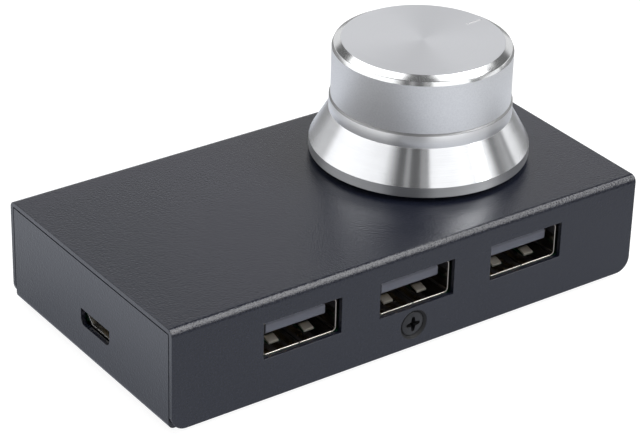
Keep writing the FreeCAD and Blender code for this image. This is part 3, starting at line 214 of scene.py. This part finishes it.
def feed(tree, node, inputs):
    """Set or link a node's inputs."""
    for key, source in inputs.items():
        if isinstance(source, bpy.types.NodeSocket):
            tree.links.new(source, node.inputs[key])
        else:
            node.inputs[key].default_value = source


def maths(tree, operation, first, second=0.0, third=0.0):
    """A Math node's result."""
    return add(tree, "Math", {0: first, 1: second, 2: third}, operation=operation).outputs[0]


def spread(tree, value, low, high, from_low=0.0, from_high=1.0):
    """A value brought from one range into another, and held inside it."""
    inputs = {"Value": value, "From Min": from_low, "From Max": from_high, "To Min": low, "To Max": high}
    return add(tree, "MapRange", inputs).outputs["Result"]


def noise(tree, coords, scale, detail=2.0, roughness=0.5):
    """Noise of a given scale, 0 to 1."""
    inputs = {"Vector": coords, "Scale": scale, "Detail": detail, "Roughness": roughness}
    return add(tree, "TexNoise", inputs).outputs["Fac"]


def between(tree, share, first, second):
    """A colour between two, by a share. The Mix node's colours are its inputs 6 and 7 and its output 2."""
    node = add(tree, "Mix", {"Factor": share}, data_type="RGBA")
    feed(tree, node, {6: with_alpha(first), 7: with_alpha(second)})
    return node.outputs[2]


def with_alpha(colour):
    """A colour of three numbers with its alpha; a socket stays as it is."""
    return colour if isinstance(colour, bpy.types.NodeSocket) else (*colour, 1.0)


def new_material(name):
    """A material, its node tree, its shader and the object's own coordinates."""
    material = bpy.data.materials.new(name)
    material.use_nodes = True
    tree = material.node_tree
    coords = add(tree, "TexCoord").outputs["Object"]
    return material, tree, tree.nodes["Principled BSDF"], coords


def bumped(tree, height, strength, distance):
    """A bump's normal from a height."""
    inputs = {"Height": height, "Strength": strength, "Distance": distance}
    return add(tree, "Bump", inputs).outputs["Normal"]


def axes(tree, vector):
    """A vector's three numbers."""
    return add(tree, "SeparateXYZ", {"Vector": vector}).outputs


def blended(tree, first, second, share):
    """Two values mixed, with the first one's share."""
    rest = maths(tree, "MULTIPLY", second, 1 - share)
    return maths(tree, "ADD", maths(tree, "MULTIPLY", first, share), rest)


def moulded(name, dark, light, roughness, grain=2500.0, specular=0.5):
    """A fine-grained surface: plastic, rubber or oxide, with its colour a little uneven."""
    material, tree, shader, coords = new_material(name)
    cloud = noise(tree, coords, 120.0, 3.0)
    fine = noise(tree, coords, grain, 2.0)
    feed(tree, shader, {
        "Base Color": between(tree, blended(tree, cloud, fine, 0.6), dark, light),
        "Roughness": spread(tree, fine, roughness - 0.06, roughness + 0.06),
        "Specular IOR Level": specular,
        "Normal": bumped(tree, fine, 0.5, 0.02 * MM),
    })
    return material


def painted_screw_ring_shade(tree, coords):
    """1 on the slope round a case screw's head, which is painted near-black as the shade in the gap round
    the head and made rougher, and 0 elsewhere.
    """
    low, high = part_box("case_screws")
    x, y, z = axes(tree, coords)
    aside = maths(tree, "SUBTRACT", x, (low[0] + high[0]) / 2)
    up = maths(tree, "SUBTRACT", z, (low[2] + high[2]) / 2)
    flat = add(tree, "CombineXYZ", {"X": aside, "Y": up}).outputs["Vector"]
    away = add(tree, "VectorMath", {0: flat}, operation="LENGTH").outputs["Value"]
    blur = DIMPLE_BLUR * MM
    near = spread(tree, away, 1.0, 0.0, DIMPLE_RADIUS * MM - blur, DIMPLE_RADIUS * MM + blur)
    face = CAD_BOX[1][1]
    sunk = spread(tree, maths(tree, "ABSOLUTE", y), 1.0, 0.0, face - 1.5 * blur, face - 0.5 * blur)
    return maths(tree, "MULTIPLY", near, sunk)


def powder_coat():
    """Satin black powder coat with a fine pebble."""
    material, tree, shader, coords = new_material("case_coat")
    cloud = noise(tree, coords, 60.0, 3.0)
    pebble = noise(tree, coords, 3600.0, 2.0, 0.55)
    cells = add(tree, "TexVoronoi", {"Vector": coords, "Scale": 2900.0, "Smoothness": 0.6},
                feature="SMOOTH_F1").outputs["Distance"]
    height = maths(tree, "SUBTRACT", pebble, maths(tree, "MULTIPLY", cells, 0.5))
    colour = between(tree, spread(tree, pebble, 0.0, 1.0, 0.3, 0.7), (0.005, 0.0065, 0.015),
                     (0.015, 0.0175, 0.029))
    # The slope round each screw head is painted near-black: painted shade of the gap round the head.
    screw_ring_shade = painted_screw_ring_shade(tree, coords)
    rough = spread(tree, cloud, 0.2, 0.26)
    feed(tree, shader, {
        "Base Color": between(tree, screw_ring_shade, colour, (0.002, 0.002, 0.003)),
        "Roughness": maths(tree, "MAXIMUM", maths(tree, "MULTIPLY", screw_ring_shade, DIMPLE_ROUGHNESS), rough),
        "Normal": bumped(tree, height, 0.8, 0.05 * MM),
    })
    return material


def drawn_metal(name, dark, light, roughness):
    """Bright sheet metal with faint level drawing lines and a few duller patches."""
    material, tree, shader, coords = new_material(name)
    squeezed = add(tree, "Mapping", {"Vector": coords, "Scale": (1, 1, 12)}).outputs["Vector"]
    lines = noise(tree, squeezed, 900.0, 3.0)
    cloud = noise(tree, coords, 260.0, 3.0)
    feed(tree, shader, {
        "Base Color": between(tree, cloud, dark, light),
        "Metallic": 1.0,
        "Roughness": spread(tree, lines, roughness - 0.07, roughness + 0.07),
        "Normal": bumped(tree, lines, 0.15, 0.01 * MM),
    })
    return material


def plated_shell(node):
    """A socket's bright shell, whose stamped springs are duller than its walls and painted lighter, a
    painted highlight where the light falls on them.
    """
    low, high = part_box(node)
    material = drawn_metal(f"plating_{node}", (0.42, 0.39, 0.35), (0.52, 0.49, 0.45), 0.14)
    tree = material.node_tree
    coords = add(tree, "TexCoord").outputs["Object"]
    x, y, _ = axes(tree, coords)
    aside = maths(tree, "ABSOLUTE", maths(tree, "SUBTRACT", x, (low[0] + high[0]) / 2))
    aside = maths(tree, "ABSOLUTE", maths(tree, "SUBTRACT", aside, SPRING_OFFSET * MM))
    blur = SPRING_BLUR * MM
    edge = SPRING_WIDTH / 2 * MM
    across = spread(tree, aside, 1.0, 0.0, edge, edge + blur)
    front = low[1] + SPRING_FRONT * MM
    back = low[1] + SPRING_BACK * MM
    along = maths(tree, "MULTIPLY", spread(tree, y, 0.0, 1.0, front, front + blur),
                  spread(tree, y, 1.0, 0.0, back, back + 10 * blur))
    on_spring = maths(tree, "MULTIPLY", across, along)
    grain = noise(tree, coords, 1800.0, 3.0)
    duller_and_painted_lighter = maths(tree, "MULTIPLY", on_spring, spread(tree, grain, 0.75, 1.0))
    cut = spread(tree, y, 1.0, 0.0, *(low[1] + depth * MM for depth in CUT_EDGE))
    shader = tree.nodes["Principled BSDF"]
    plain = shader.inputs["Base Color"].links[0].from_socket
    # The springs' lighter colour is a painted highlight.
    springs_painted_lighter = between(tree, duller_and_painted_lighter, plain, (0.7, 0.67, 0.62))
    feed(tree, shader, {
        "Base Color": between(tree, cut, springs_painted_lighter, (0.12, 0.1, 0.09)),
        "Roughness": spread(tree, maths(tree, "MAXIMUM", duller_and_painted_lighter, cut), 0.14, 0.55),
    })
    return material


def circuit():
    """Green solder mask with faint tracks below it and bare glass edges."""
    material, tree, shader, coords = new_material("board_mask")
    tracks = add(tree, "TexBrick", {"Vector": coords, "Scale": 420.0, "Mortar Size": 0.012,
                                    "Brick Width": 1.6, "Row Height": 0.35}).outputs["Fac"]
    cloud = noise(tree, coords, 90.0, 3.0)
    mask = between(tree, cloud, (0.012, 0.085, 0.04), (0.018, 0.11, 0.052))
    feed(tree, shader, {
        "Base Color": between(tree, maths(tree, "MULTIPLY", tracks, 0.6), mask, (0.05, 0.2, 0.1)),
        "Roughness": spread(tree, cloud, 0.28, 0.4),
        "Normal": bumped(tree, tracks, 0.3, 0.03 * MM),
    })
    return material


def knob_metal(name, roughness, anisotropic, dark, light, lines=0.1):
    """Bare aluminium of the knob, cut in rings on a lathe: they spread the light across them."""
    material, tree, shader, coords = new_material(name)
    x, y, z = axes(tree, coords)
    squares = maths(tree, "ADD", maths(tree, "MULTIPLY", x, x), maths(tree, "MULTIPLY", y, y))
    rings = add(tree, "CombineXYZ", {"X": maths(tree, "SQRT", squares), "Y": z}).outputs["Vector"]
    turning = noise(tree, rings, 9000.0, 2.0)
    cloud = noise(tree, coords, 300.0, 3.0)
    feed(tree, shader, {
        "Base Color": between(tree, blended(tree, turning, cloud, 0.7), dark, light),
        "Metallic": 1.0,
        "Roughness": spread(tree, turning, roughness - 0.04, roughness + 0.04),
        "Anisotropic": anisotropic,
        "Anisotropic Rotation": 0.25,
        "Tangent": add(tree, "Tangent", direction_type="RADIAL", axis="Z").outputs["Tangent"],
        "Normal": bumped(tree, turning, lines, 0.01 * MM),
    })
    return material


def knob_spun():
    """The knob's face: fine rings that fan the light out round the centre."""
    return knob_metal("knob_spun", 0.3, 0.5, (0.65, 0.66, 0.69), (0.71, 0.72, 0.75))


def knob_polished():
    """The bright bevel and shoulder round the face."""
    return knob_metal("knob_polished", 0.17, 0.3, (0.8, 0.81, 0.82), (0.86, 0.87, 0.88), 0.05)


def knob_turned():
    """The cone: bright turned rings."""
    return knob_metal("knob_turned", 0.2, 0.9, (0.6, 0.61, 0.63), (0.86, 0.87, 0.89), 0.7)


def knob_rim():
    """The rim's wall, rougher than the cone above it."""
    return knob_metal("knob_rim", 0.38, 0.85, (0.52, 0.53, 0.55), (0.72, 0.73, 0.75), 0.3)


def knob_satin():
    """The band below the groove, duller than the cone."""
    return knob_metal("knob_satin", 0.33, 0.7, (0.77, 0.78, 0.8), (0.93, 0.94, 0.96), 0.25)


def knob_groove_shade():
    """The narrow groove under the barrel, rough and painted dark as the shade inside it."""
    return knob_metal("knob_groove_shade", 0.5, 0.3, (0.42, 0.42, 0.43), (0.5, 0.5, 0.51))


def knob_blasted():
    """The barrel: fine bead blasting."""
    material, tree, shader, coords = new_material("knob_blasted")
    beads = noise(tree, coords, 4200.0, 3.0, 0.65)
    cloud = noise(tree, coords, 220.0, 3.0)
    feed(tree, shader, {
        "Base Color": between(tree, spread(tree, beads, 0.0, 1.0, 0.3, 0.7), (0.88, 0.89, 0.91),
                              (0.975, 0.985, 1.0)),
        "Metallic": 1.0,
        "Roughness": spread(tree, cloud, 0.46, 0.52),
        "Normal": bumped(tree, beads, 0.8, 0.03 * MM),
    })
    return material


def indicator_pale_fill():
    """A pale, matte colour in the indicator's groove, lighter than the face round it."""
    return moulded("indicator_pale_fill", (0.66, 0.66, 0.67), (0.74, 0.74, 0.75), 0.5)


def slot_materials():
    """One node material for each of the record's slots."""
    return {
        "case": powder_coat(),
        "foot": moulded("foot_rubber", (0.02, 0.02, 0.021), (0.04, 0.04, 0.042), 0.8),
        "black_screw": moulded("screw_oxide", (0.005, 0.005, 0.006), (0.012, 0.012, 0.014), 0.3, 3200.0),
        "steel": drawn_metal("plain_steel", (0.5, 0.5, 0.51), (0.62, 0.62, 0.63), 0.35),
        "brass": drawn_metal("plain_brass", (0.62, 0.48, 0.22), (0.75, 0.6, 0.3), 0.32),
        "board": circuit(),
        "socket_shell": drawn_metal("plated_shell", (0.66, 0.64, 0.6), (0.78, 0.76, 0.72), 0.25),
        "black_plastic": moulded("black_plastic", (0.02, 0.02, 0.021), (0.032, 0.032, 0.034), 0.5),
        "tongue_plastic": moulded("tongue_plastic", (0.12, 0.128, 0.16), (0.155, 0.163, 0.2), 0.5),
        "white_plastic": moulded("white_plastic", (0.7, 0.7, 0.67), (0.8, 0.8, 0.77), 0.45),
        "green_plastic": moulded("green_plastic", (0.07, 0.22, 0.1), (0.1, 0.3, 0.15), 0.4),
        "gold": drawn_metal("gold_plate", (0.75, 0.55, 0.22), (0.88, 0.7, 0.34), 0.25),
        "knob": knob_turned(),
        "chip": moulded("chip_mould", (0.022, 0.022, 0.024), (0.034, 0.034, 0.037), 0.6),
        "aluminium_can": drawn_metal("can_metal", (0.7, 0.7, 0.71), (0.8, 0.8, 0.81), 0.3),
        "ceramic": moulded("ceramic", (0.42, 0.31, 0.2), (0.52, 0.4, 0.27), 0.5),
    }


def in_one_finish(profile, finish):
    """A profile's rows with the same finish on each."""
    return [(*row, finish) for row in profile]


def softened(points):
    """A profile's points and finishes with each marked corner turned into a short arc."""
    result = []
    for i, (radius, height, rounding, finish) in enumerate(points):
        here = Vector((radius, height))
        if rounding == 0 or i in (0, len(points) - 1):
            result.append((radius, height, finish))
            continue
        before = (Vector(points[i - 1][:2]) - here).normalized()
        after = (Vector(points[i + 1][:2]) - here).normalized()
        opening = before.angle(after)
        back = min(rounding / math.tan(opening / 2), rounding * 3)
        start, end = here + before * back, here + after * back
        for step in range(CORNER_STEPS + 1):
            t = step / CORNER_STEPS
            spot = start * (1 - t) ** 2 + here * 2 * t * (1 - t) + end * t ** 2
            result.append((spot.x, spot.y, finish))
    return result


def lathe(name, points, segments, finishes):
    """A closed mesh turned about its own Z axis from (radius, height, finish) points in millimetres."""
    mesh = bpy.data.meshes.new(name)
    work = bmesh.new()
    rings = []
    for radius, height, _ in points:
        if radius == 0:
            rings.append([work.verts.new((0, 0, height * MM))])
            continue
        ring = []
        for i in range(segments):
            angle = 2 * math.pi * i / segments
            across, along = radius * MM * math.cos(angle), radius * MM * math.sin(angle)
            ring.append(work.verts.new((across, along, height * MM)))
        rings.append(ring)
    for index, low in enumerate(rings):
        high = rings[(index + 1) % len(rings)]
        if len(low) == len(high) == 1:
            continue
        for i in range(segments):
            j = (i + 1) % segments
            corners = [low[i % len(low)], low[j % len(low)], high[j % len(high)], high[i % len(high)]]
            corners = list(dict.fromkeys(corners))
            face = work.faces.new(corners)
            face.material_index = finishes.index(points[index][2])
            face.smooth = True
    bmesh.ops.recalc_face_normals(work, faces=work.faces)
    work.to_mesh(mesh)
    work.free()
    return mesh


def engrave(piece, cutter):
    """Takes the cutter's shape out of the piece's mesh, and removes the cutter."""
    cut = piece.modifiers.new("Cut", "BOOLEAN")
    cut.object = cutter
    cut.solver = "EXACT"
    cut.material_mode = "TRANSFER"
    bpy.context.view_layer.update()
    graph = bpy.context.evaluated_depsgraph_get()
    mesh = bpy.data.meshes.new_from_object(piece.evaluated_get(graph))
    piece.modifiers.remove(cut)
    piece.data = mesh
    bpy.data.objects.remove(cutter)


def new_object(name, mesh, place=(0, 0, 0)):
    """A linked object from a mesh."""
    piece = bpy.data.objects.new(name, mesh)
    piece.location = place
    bpy.context.scene.collection.objects.link(piece)
    return piece


def prism(name, low_outline, high_outline, low, high):
    """A closed mesh between two outlines of (across, up) points in millimetres."""
    mesh = bpy.data.meshes.new(name)
    work = bmesh.new()
    rings = []
    for outline, height in ((low_outline, low), (high_outline, high)):
        rings.append([work.verts.new((across * MM, up * MM, height * MM)) for across, up in outline])
    for ring in rings:
        work.faces.new(ring)
    count = len(low_outline)
    for i in range(count):
        j = (i + 1) % count
        work.faces.new((rings[0][i], rings[0][j], rings[1][j], rings[1][i]))
    bmesh.ops.recalc_face_normals(work, faces=work.faces)
    work.to_mesh(mesh)
    work.free()
    return mesh


def slot_cutter():
    """A round-ended bar where the indicator line is engraved."""
    half = INDICATOR["width"] / 2
    turn = Matrix.Rotation(math.radians(INDICATOR["angle"]), 2)
    outline = []
    for centre, start in ((INDICATOR["end"] - half, -90), (INDICATOR["start"] + half, 90)):
        for step in range(INDICATOR_END_STEPS + 1):
            angle = math.radians(start + 180 * step / INDICATOR_END_STEPS)
            outline.append(turn @ Vector((centre + half * math.cos(angle), half * math.sin(angle))))
    top = KNOB_PROFILE[-1][1]
    return prism("cutter", outline, outline, top - INDICATOR["depth"], top + CUTTER_RISE)


def cross_cutter():
    """A four-armed point that tapers inward, for a screw's recess."""
    wide, narrow = [], []
    for arm in range(4):
        turn = Matrix.Rotation(math.radians(90 * arm), 2)
        root, reach, tip = CROSS["root"], CROSS["reach"], CROSS["tip"]
        for spot in ((root, -root), (reach, -tip), (reach + tip / 2, 0), (reach, tip)):
            point = turn @ Vector(spot)
            wide.append(point)
            narrow.append(point * CROSS["taper"])
    return prism("cutter", narrow, wide, -CROSS["depth"], CROSS["top"])


def weighted(piece):
    """Normals that keep flat faces flat beside their small roundings."""
    modifier = piece.modifiers.new("Normals", "WEIGHTED_NORMAL")
    modifier.keep_sharp = True
    modifier.weight = 100


def knob():
    """The turned knob with its finishes, in place of the plain solid."""
    finishes = {
        "turned": MATERIALS["knob"], "rim": knob_rim(), "satin": knob_satin(), "groove_shade": knob_groove_shade(),
        "blasted": knob_blasted(), "polished": knob_polished(), "spun": knob_spun(),
    }
    points = softened(KNOB_PROFILE) + in_one_finish(KNOB_INNER, "turned")
    centre = Vector(KNOB_CENTRE) * MM
    piece = new_object("knob_body", lathe("knob_body", points, KNOB_SEGMENTS, list(finishes)), centre)
    for material in finishes.values():
        piece.data.materials.append(material)
    cutter = new_object("cutter", slot_cutter(), centre)
    cutter.data.materials.append(indicator_pale_fill())
    engrave(piece, cutter)
    weighted(piece)
    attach(piece, "knob")
    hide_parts("knob_shell")


def socket_rim(side):
    """The rounded front edge of a socket's shell, open at the seam below."""
    low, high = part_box(f"usb_shell_{side}")
    middle, inset = (low[0] + high[0]) / 2, SHELL_WALL / 2 * MM
    left, right = low[0] + inset, high[0] - inset
    top = RIM_TOP * MM
    bottom = top - RIM_HEIGHT * MM + 2 * inset
    corner = (SHELL_CORNER - SHELL_WALL / 2) * MM
    spots = [(middle + SEAM / 2 * MM, bottom)]
    turns = ((right, bottom, -90), (right, top, 0), (left, top, 90), (left, bottom, 180))
    for across, up, start in turns:
        centre_x = across - corner if across == right else across + corner
        centre_z = up + corner if up == bottom else up - corner
        for step in range(RIM_CORNER_STEPS + 1):
            angle = math.radians(start + 90 * step / RIM_CORNER_STEPS)
            spots.append((centre_x + corner * math.cos(angle), centre_z + corner * math.sin(angle)))
    spots.append((middle - SEAM / 2 * MM, bottom))
    line = bpy.data.curves.new(f"socket_rim_{side}", "CURVE")
    line.dimensions = "3D"
    line.bevel_depth = RIM_BEAD * MM
    line.bevel_resolution = 3
    spline = line.splines.new("POLY")
    spline.points.add(len(spots) - 1)
    for point, (across, up) in zip(spline.points, spots):
        point.co = (across, low[1] + RIM_SET_BACK * MM, up, 1)
    line.materials.append(MATERIALS["rim"])
    piece = new_object(f"socket_rim_{side}", line)
    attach(piece, "case")


def cross_screw(name, side):
    """A countersunk screw with a low crown and a tapered cross recess."""
    low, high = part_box("case_screws")
    points = softened(in_one_finish(SCREW_PROFILE, "oxide"))
    piece = new_object(f"case_screw_{name}", lathe(f"case_screw_{name}", points, SCREW_SEGMENTS, ["oxide"]))
    piece.data.materials.append(MATERIALS["black_screw"])
    cutter = new_object("cutter", cross_cutter())
    # The recess is painted darker than the head's oxide and made less shiny: painted shade inside the cross.
    cutter.data.materials.append(moulded(f"recess_{name}", (0.002, 0.002, 0.002), (0.006, 0.006, 0.007), 0.6,
                                         3200.0, 0.1))
    engrave(piece, cutter)
    face = high[1] if side > 0 else low[1]
    piece.location = ((low[0] + high[0]) / 2, face, (low[2] + high[2]) / 2)
    piece.rotation_euler = (math.radians(-90 * side), 0, 0)
    weighted(piece)
    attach(piece, "case")
    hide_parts("case_screws")


def snap_dome():
    """The switch's snap dome at rest, turned in place of the CAD node; the real dome flattens as the knob
    presses the plunger down on it.
    """
    low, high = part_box("switch_dome")
    place = ((low[0] + high[0]) / 2, (low[1] + high[1]) / 2, low[2])
    points = softened(in_one_finish(DOME_PROFILE, "pressed"))
    piece = new_object("snap_dome", lathe("snap_dome", points, DOME_SEGMENTS, ["pressed"]), place)
    piece.data.materials.append(MATERIALS["steel"])
    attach(piece, "case")
    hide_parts("switch_dome")
    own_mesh(piece)


def dress(node, material, edge):
    """A CAD node with its material and small worn edges."""
    piece = frame["nodes"][node]
    for material_slot in piece.material_slots:
        material_slot.material = material
    if edge:
        weld = piece.modifiers.new("Weld", "WELD")
        weld.merge_threshold = 0.002 * MM
        flat = piece.modifiers.new("Flat", "DECIMATE")
        flat.decimate_type = "DISSOLVE"
        flat.angle_limit = math.radians(0.5)
        bevel = piece.modifiers.new("Edges", "BEVEL")
        bevel.width = edge * MM
        bevel.segments = 2
        bevel.limit_method = "ANGLE"
        bevel.angle_limit = math.radians(30)
        weighted(piece)


def dress_nodes():
    """Every CAD node with the material of its slot, or its own where it needs more."""
    own = {"micro_usb_insulator": moulded("inlet_plastic", (0.26, 0.255, 0.235), (0.36, 0.355, 0.33), 0.5)}
    for side in SOCKET_SIDES:
        node = f"usb_shell_{side}"
        own[node] = plated_shell(node)
    for part in frame["record"]["subparts"]:
        node = part["node"]
        dress(node, own.get(node, MATERIALS[part["material_slot"]]), EDGES.get(node, 0))


def softbox(tree, azimuth, elevation, row):
    """One light's brightness in every direction."""
    middle, half, side_blur, low, high, end_blur, brightness = row
    turned = maths(tree, "WRAP", maths(tree, "SUBTRACT", azimuth, middle), 180.0, -180.0)
    aside = maths(tree, "ABSOLUTE", turned)
    inside = spread(tree, aside, 1.0, 0.0, half - side_blur, half + side_blur)
    above = spread(tree, elevation, 0.0, 1.0, low - end_blur, low + end_blur)
    below = spread(tree, elevation, 1.0, 0.0, high - end_blur, high + end_blur)
    both = maths(tree, "MULTIPLY", above, below)
    return maths(tree, "MULTIPLY", maths(tree, "MULTIPLY", inside, both), brightness)


def room():
    """The studio's light by direction, white to the camera."""
    world = bpy.data.worlds.new("room")
    bpy.context.scene.world = world
    world.use_nodes = True
    tree = world.node_tree
    tree.nodes.clear()
    direction = add(tree, "TexCoord").outputs["Generated"]
    x, y, z = axes(tree, direction)
    degrees = 180 / math.pi
    azimuth = maths(tree, "MULTIPLY", maths(tree, "ARCTAN2", y, x), degrees)
    azimuth = maths(tree, "SUBTRACT", azimuth, CAMERA_AZIMUTH)
    elevation = maths(tree, "MULTIPLY", maths(tree, "ARCSINE", z), degrees)
    light = ROOM_DARK
    for row in SOFTBOXES:
        light = maths(tree, "MAXIMUM", softbox(tree, azimuth, elevation, row), light)
    lit = add(tree, "Background", {"Color": (1.0, 1.0, 1.0, 1.0), "Strength": light})
    white = add(tree, "Background", {"Color": (1.0, 1.0, 1.0, 1.0), "Strength": 1.0})
    camera = add(tree, "LightPath").outputs["Is Camera Ray"]
    mixed = add(tree, "MixShader", {0: camera, 1: lit.outputs[0], 2: white.outputs[0]})
    output = tree.nodes.new("ShaderNodeOutputWorld")
    tree.links.new(mixed.outputs[0], output.inputs["Surface"])


def floor():
    """A pale floor that glows to the camera and to shiny surfaces, and keeps the shadow."""
    mesh = bpy.data.meshes.new("floor")
    mesh.from_pydata([(-2, -2, 0), (2, -2, 0), (2, 2, 0), (-2, 2, 0)], [], [(0, 1, 2, 3)])
    ground = new_object("floor", mesh)
    material = bpy.data.materials.new("floor_paint")
    material.use_nodes = True
    tree = material.node_tree
    tree.nodes.clear()
    path = add(tree, "LightPath").outputs
    reflected = maths(tree, "MAXIMUM", path["Is Glossy Ray"], path["Is Transmission Ray"])
    coords = add(tree, "TexCoord").outputs["Object"]
    x = axes(tree, coords)["X"]
    away = add(tree, "VectorMath", {0: coords}, operation="LENGTH").outputs["Value"]
    front, left, far = GLOW_IN_METAL
    card = spread(tree, away, spread(tree, x, left, front, *GLOW_LEFT), far, *GLOW_REACH)
    mirrored = maths(tree, "MULTIPLY", reflected, card)
    seen = maths(tree, "MULTIPLY", path["Is Camera Ray"], FLOOR_GLOW)
    paint = add(tree, "BsdfDiffuse", {"Color": (FLOOR_PAINT, FLOOR_PAINT, FLOOR_PAINT, 1.0)})
    glow = add(tree, "Emission", {"Strength": seen})
    bounce = add(tree, "Emission", {"Color": GLOW_COLOUR, "Strength": mirrored})
    both = add(tree, "AddShader", {0: paint.outputs[0], 1: glow.outputs[0]})
    both = add(tree, "AddShader", {0: both.outputs[0], 1: bounce.outputs[0]})
    output = tree.nodes.new("ShaderNodeOutputMaterial")
    tree.links.new(both.outputs[0], output.inputs["Surface"])
    mesh.materials.append(material)


def camera():
    """The photograph's viewpoint."""
    data = bpy.data.cameras.new("camera")
    data.lens = CAMERA_LENS
    data.sensor_width = 36.0
    data.clip_start = 0.01
    item = bpy.data.objects.new("camera", data)
    bpy.context.scene.collection.objects.link(item)
    columns = Matrix((CAMERA_RIGHT, [-n for n in CAMERA_DOWN], [-n for n in CAMERA_FORWARD])).transposed()
    item.matrix_world = Matrix.Translation(Vector(CAMERA_PLACE) * MM) @ columns.to_4x4()
    bpy.context.scene.camera = item


MATERIALS = slot_materials()
MATERIALS["rim"] = drawn_metal("socket_rim", (0.5, 0.47, 0.42), (0.6, 0.57, 0.52), 0.25)
camera()
floor()
room()
dress_nodes()
knob()
for name, side in SCREW_SIDES.items():
    cross_screw(name, side)
for side in SOCKET_SIDES:
    socket_rim(side)
snap_dome()

bpy.context.scene.view_settings.view_transform = "Standard"
